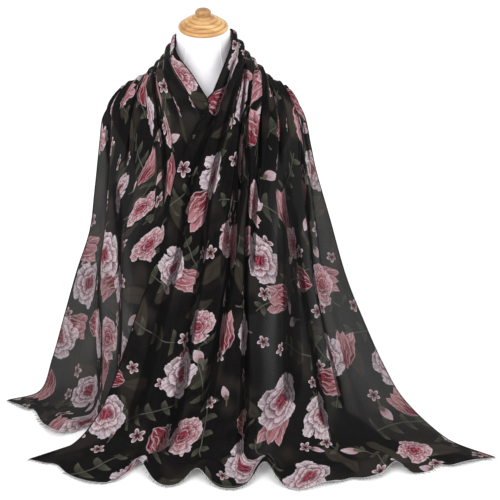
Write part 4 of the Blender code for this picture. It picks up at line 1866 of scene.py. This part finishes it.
    def build_sheet(
        self,
        stretch: Stretch,
        grid: np.ndarray,
        flat: np.ndarray,
        density: np.ndarray,
        voile: bpy.types.Material,
    ) -> bpy.types.Object:
        """Builds one stretch as a single sheet.

        Args:
            stretch: The stretch.
            grid: The whole strip.
            flat: The strip's flat coordinates.
            density: How closely the strip lies in layers.
            voile: The cloth's material.

        Returns:
            The sheet.
        """
        points = grid[stretch.rows]
        faces = [face[::-1] for face in grid_faces(*points.shape[:2])]
        sheet = mesh_object(stretch.name, points, faces)
        lay_flat(sheet, flat[stretch.rows], density[stretch.rows])
        normals = grid_normals(grid)[stretch.rows]
        sheet.data.normals_split_custom_set_from_vertices(normals.reshape(-1, 3).tolist())
        return place_piece(sheet, voile, Slot.VOILE, stretch.node)

    def build_selvedges(
        self, stretch: Stretch, grid: np.ndarray, flat: np.ndarray, voile: bpy.types.Material
    ) -> bpy.types.Object:
        """Builds the rolled hems along the stretch's two selvedges.

        Args:
            stretch: The stretch.
            grid: The whole strip.
            flat: The strip's flat coordinates.
            voile: The hem's material.

        Returns:
            The piece.
        """
        points, faces, places = [], [], []
        count = 0
        for column in (0, -1):
            line = grid[stretch.rows, column]
            line = np.column_stack([line[:, :2], np.maximum(line[:, 2], self.selvedge_radius)])
            made, made_faces = tube(line, self.selvedge_radius, self.selvedge_sides)
            points.append(made)
            places.append(np.repeat(flat[stretch.rows, column], self.selvedge_sides, axis=0))
            faces += [tuple(corner + count for corner in face) for face in made_faces]
            count += len(made)
        piece = mesh_object(stretch.name + "_selvedges", np.concatenate(points), faces)
        turn_outwards(piece)
        # The rolled hem counts as cloth in layers, so its colour takes the painted shade of doubled cloth.
        lay_flat(piece, np.concatenate(places), np.full(count, self.rolled_layers))
        return place_piece(piece, voile, Slot.VOILE)

    def build_fringe(
        self, stretch: Stretch, grid: np.ndarray, yarn: bpy.types.Material
    ) -> bpy.types.Object:
        """Builds the fringe along the stretch's hem.

        Args:
            stretch: The stretch.
            grid: The whole strip.
            yarn: The fringe's material.

        Returns:
            The piece.
        """
        edge, neighbour = (grid[0], grid[2]) if stretch.hem_at_start else (grid[-1], grid[-3])
        outward = edge - neighbour
        outward[:, 2] *= self.fringe_flattening
        combed = running_mean(unit(outward), self.fringe_combing)
        name = stretch.name + "_fringe"
        piece = Fringe(seed=len(name)).build(name, edge, unit(combed), yarn)
        return place_piece(piece, yarn, Slot.YARN, stretch.fringe)

    def build(self, form: BVHTree, supports: list[bpy.types.Object]) -> None:
        """Builds the scarf's sheets with their selvedges and fringes.

        Args:
            form: The torso's surface.
            supports: What the cloth rests on; not used.
        """
        grid, places = self.shape(form)
        flat = self.flat_places(grid, places)
        density = self.density(places)
        voile = VoilePrint("printed_voile_print").finish()
        plain = VoilePrint("rolled_voile", printed=False).finish()
        yarn = YarnFinish().material("frayed_yarn_strands")
        left = self.under_rows - 1
        right = left + self.neck_rows - 1
        end = len(places) - 1
        stretches = (
            Stretch("scarf_under_fall", Node.UNDER_FALL, 0, left, (0.37, 0.81), Node.UNDER_FRINGE, True),
            Stretch("scarf_neck_wrap", Node.NECK_WRAP, left, right, (0.18, 0.31)),
            Stretch("scarf_over_fall", Node.OVER_FALL, right, end, (0.50, 0.93), Node.OVER_FRINGE),
        )
        for stretch in stretches:
            sheet = self.build_sheet(stretch, grid, flat, density, voile)
            trims = [self.build_selvedges(stretch, grid, flat, plain)]
            if stretch.fringe is not None:
                trims.append(self.build_fringe(stretch, grid, yarn))
            area = sum(face.area for face in sheet.data.polygons)
            LOG.info("%s: %.3f square metres shown", sheet.name, area)


@dataclass(frozen=True)
class AreaLight:
    """A soft box of the studio."""

    name: str
    place: Point
    target: Point
    size: float
    power: float


@dataclass
class Studio:
    """Pale floor, soft light, and the photograph's angle of view."""

    camera_place: Point = (0.088, -2.8834, 2.1092)
    camera_pitch: float = 58.0
    lens: float = 120.0
    sensor_width: float = 36.0
    world_strength: float = 0.80
    floor_reach: float = 14.0
    lights: tuple[AreaLight, ...] = (
        AreaLight("key", (-1.5, -1.9, 2.7), (0.05, -0.1, 0.35), 1.7, 44.0),
        AreaLight("fill", (2.0, -1.5, 1.6), (0.05, -0.1, 0.35), 1.8, 22.0),
        AreaLight("top", (0.1, 0.3, 3.0), (0.05, -0.1, 0.3), 2.2, 19.0),
    )

    def build_floor(self) -> None:
        """Builds the wide floor, with no wall that could hide the form from any side."""
        corners = [(-1, -1), (1, -1), (1, 1), (-1, 1)]
        points = np.array([[x * self.floor_reach, y * self.floor_reach, 0.0] for x, y in corners])
        floor = mesh_object("studio_floor", points, [(0, 1, 2, 3)])
        floor.data.materials.append(BackdropFinish().material("studio_paper"))

    def build_lights(self) -> None:
        """Builds the soft boxes and the even light of the room."""
        for light in self.lights:
            data = bpy.data.lights.new(light.name, "AREA")
            data.size = light.size
            data.energy = light.power
            thing = add_object(light.name, data)
            thing.location = light.place
            aim = Vector(light.target) - Vector(light.place)
            thing.rotation_euler = aim.to_track_quat("-Z", "Y").to_euler()
        world = bpy.data.worlds.new("studio_air")
        world.use_nodes = True
        sky = world.node_tree.nodes["Background"]
        sky.inputs["Color"].default_value = (1.0, 1.0, 1.0, 1.0)
        sky.inputs["Strength"].default_value = self.world_strength
        bpy.context.scene.world = world

    def build_camera(self) -> None:
        """Builds the camera at the photograph's angle."""
        data = bpy.data.cameras.new("photo_view")
        data.lens = self.lens
        data.sensor_width = self.sensor_width
        camera = add_object("photo_view", data)
        camera.location = self.camera_place
        camera.rotation_euler = (math.radians(self.camera_pitch), 0.0, 0.0)
        bpy.context.scene.camera = camera
        bpy.context.scene.view_settings.view_transform = "Standard"


def main() -> None:
    """Builds the form, the scarf and the studio in order."""
    logging.basicConfig(level=logging.INFO, format="%(message)s")
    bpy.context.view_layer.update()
    form = DressForm()
    torso = form.build_torso()
    form.build_cap()
    form.build_stand()
    studio = Studio()
    studio.build_floor()
    Scarf().build(form.surface(), [torso])
    studio.build_lights()
    studio.build_camera()


if __name__ == "__main__":
    main()
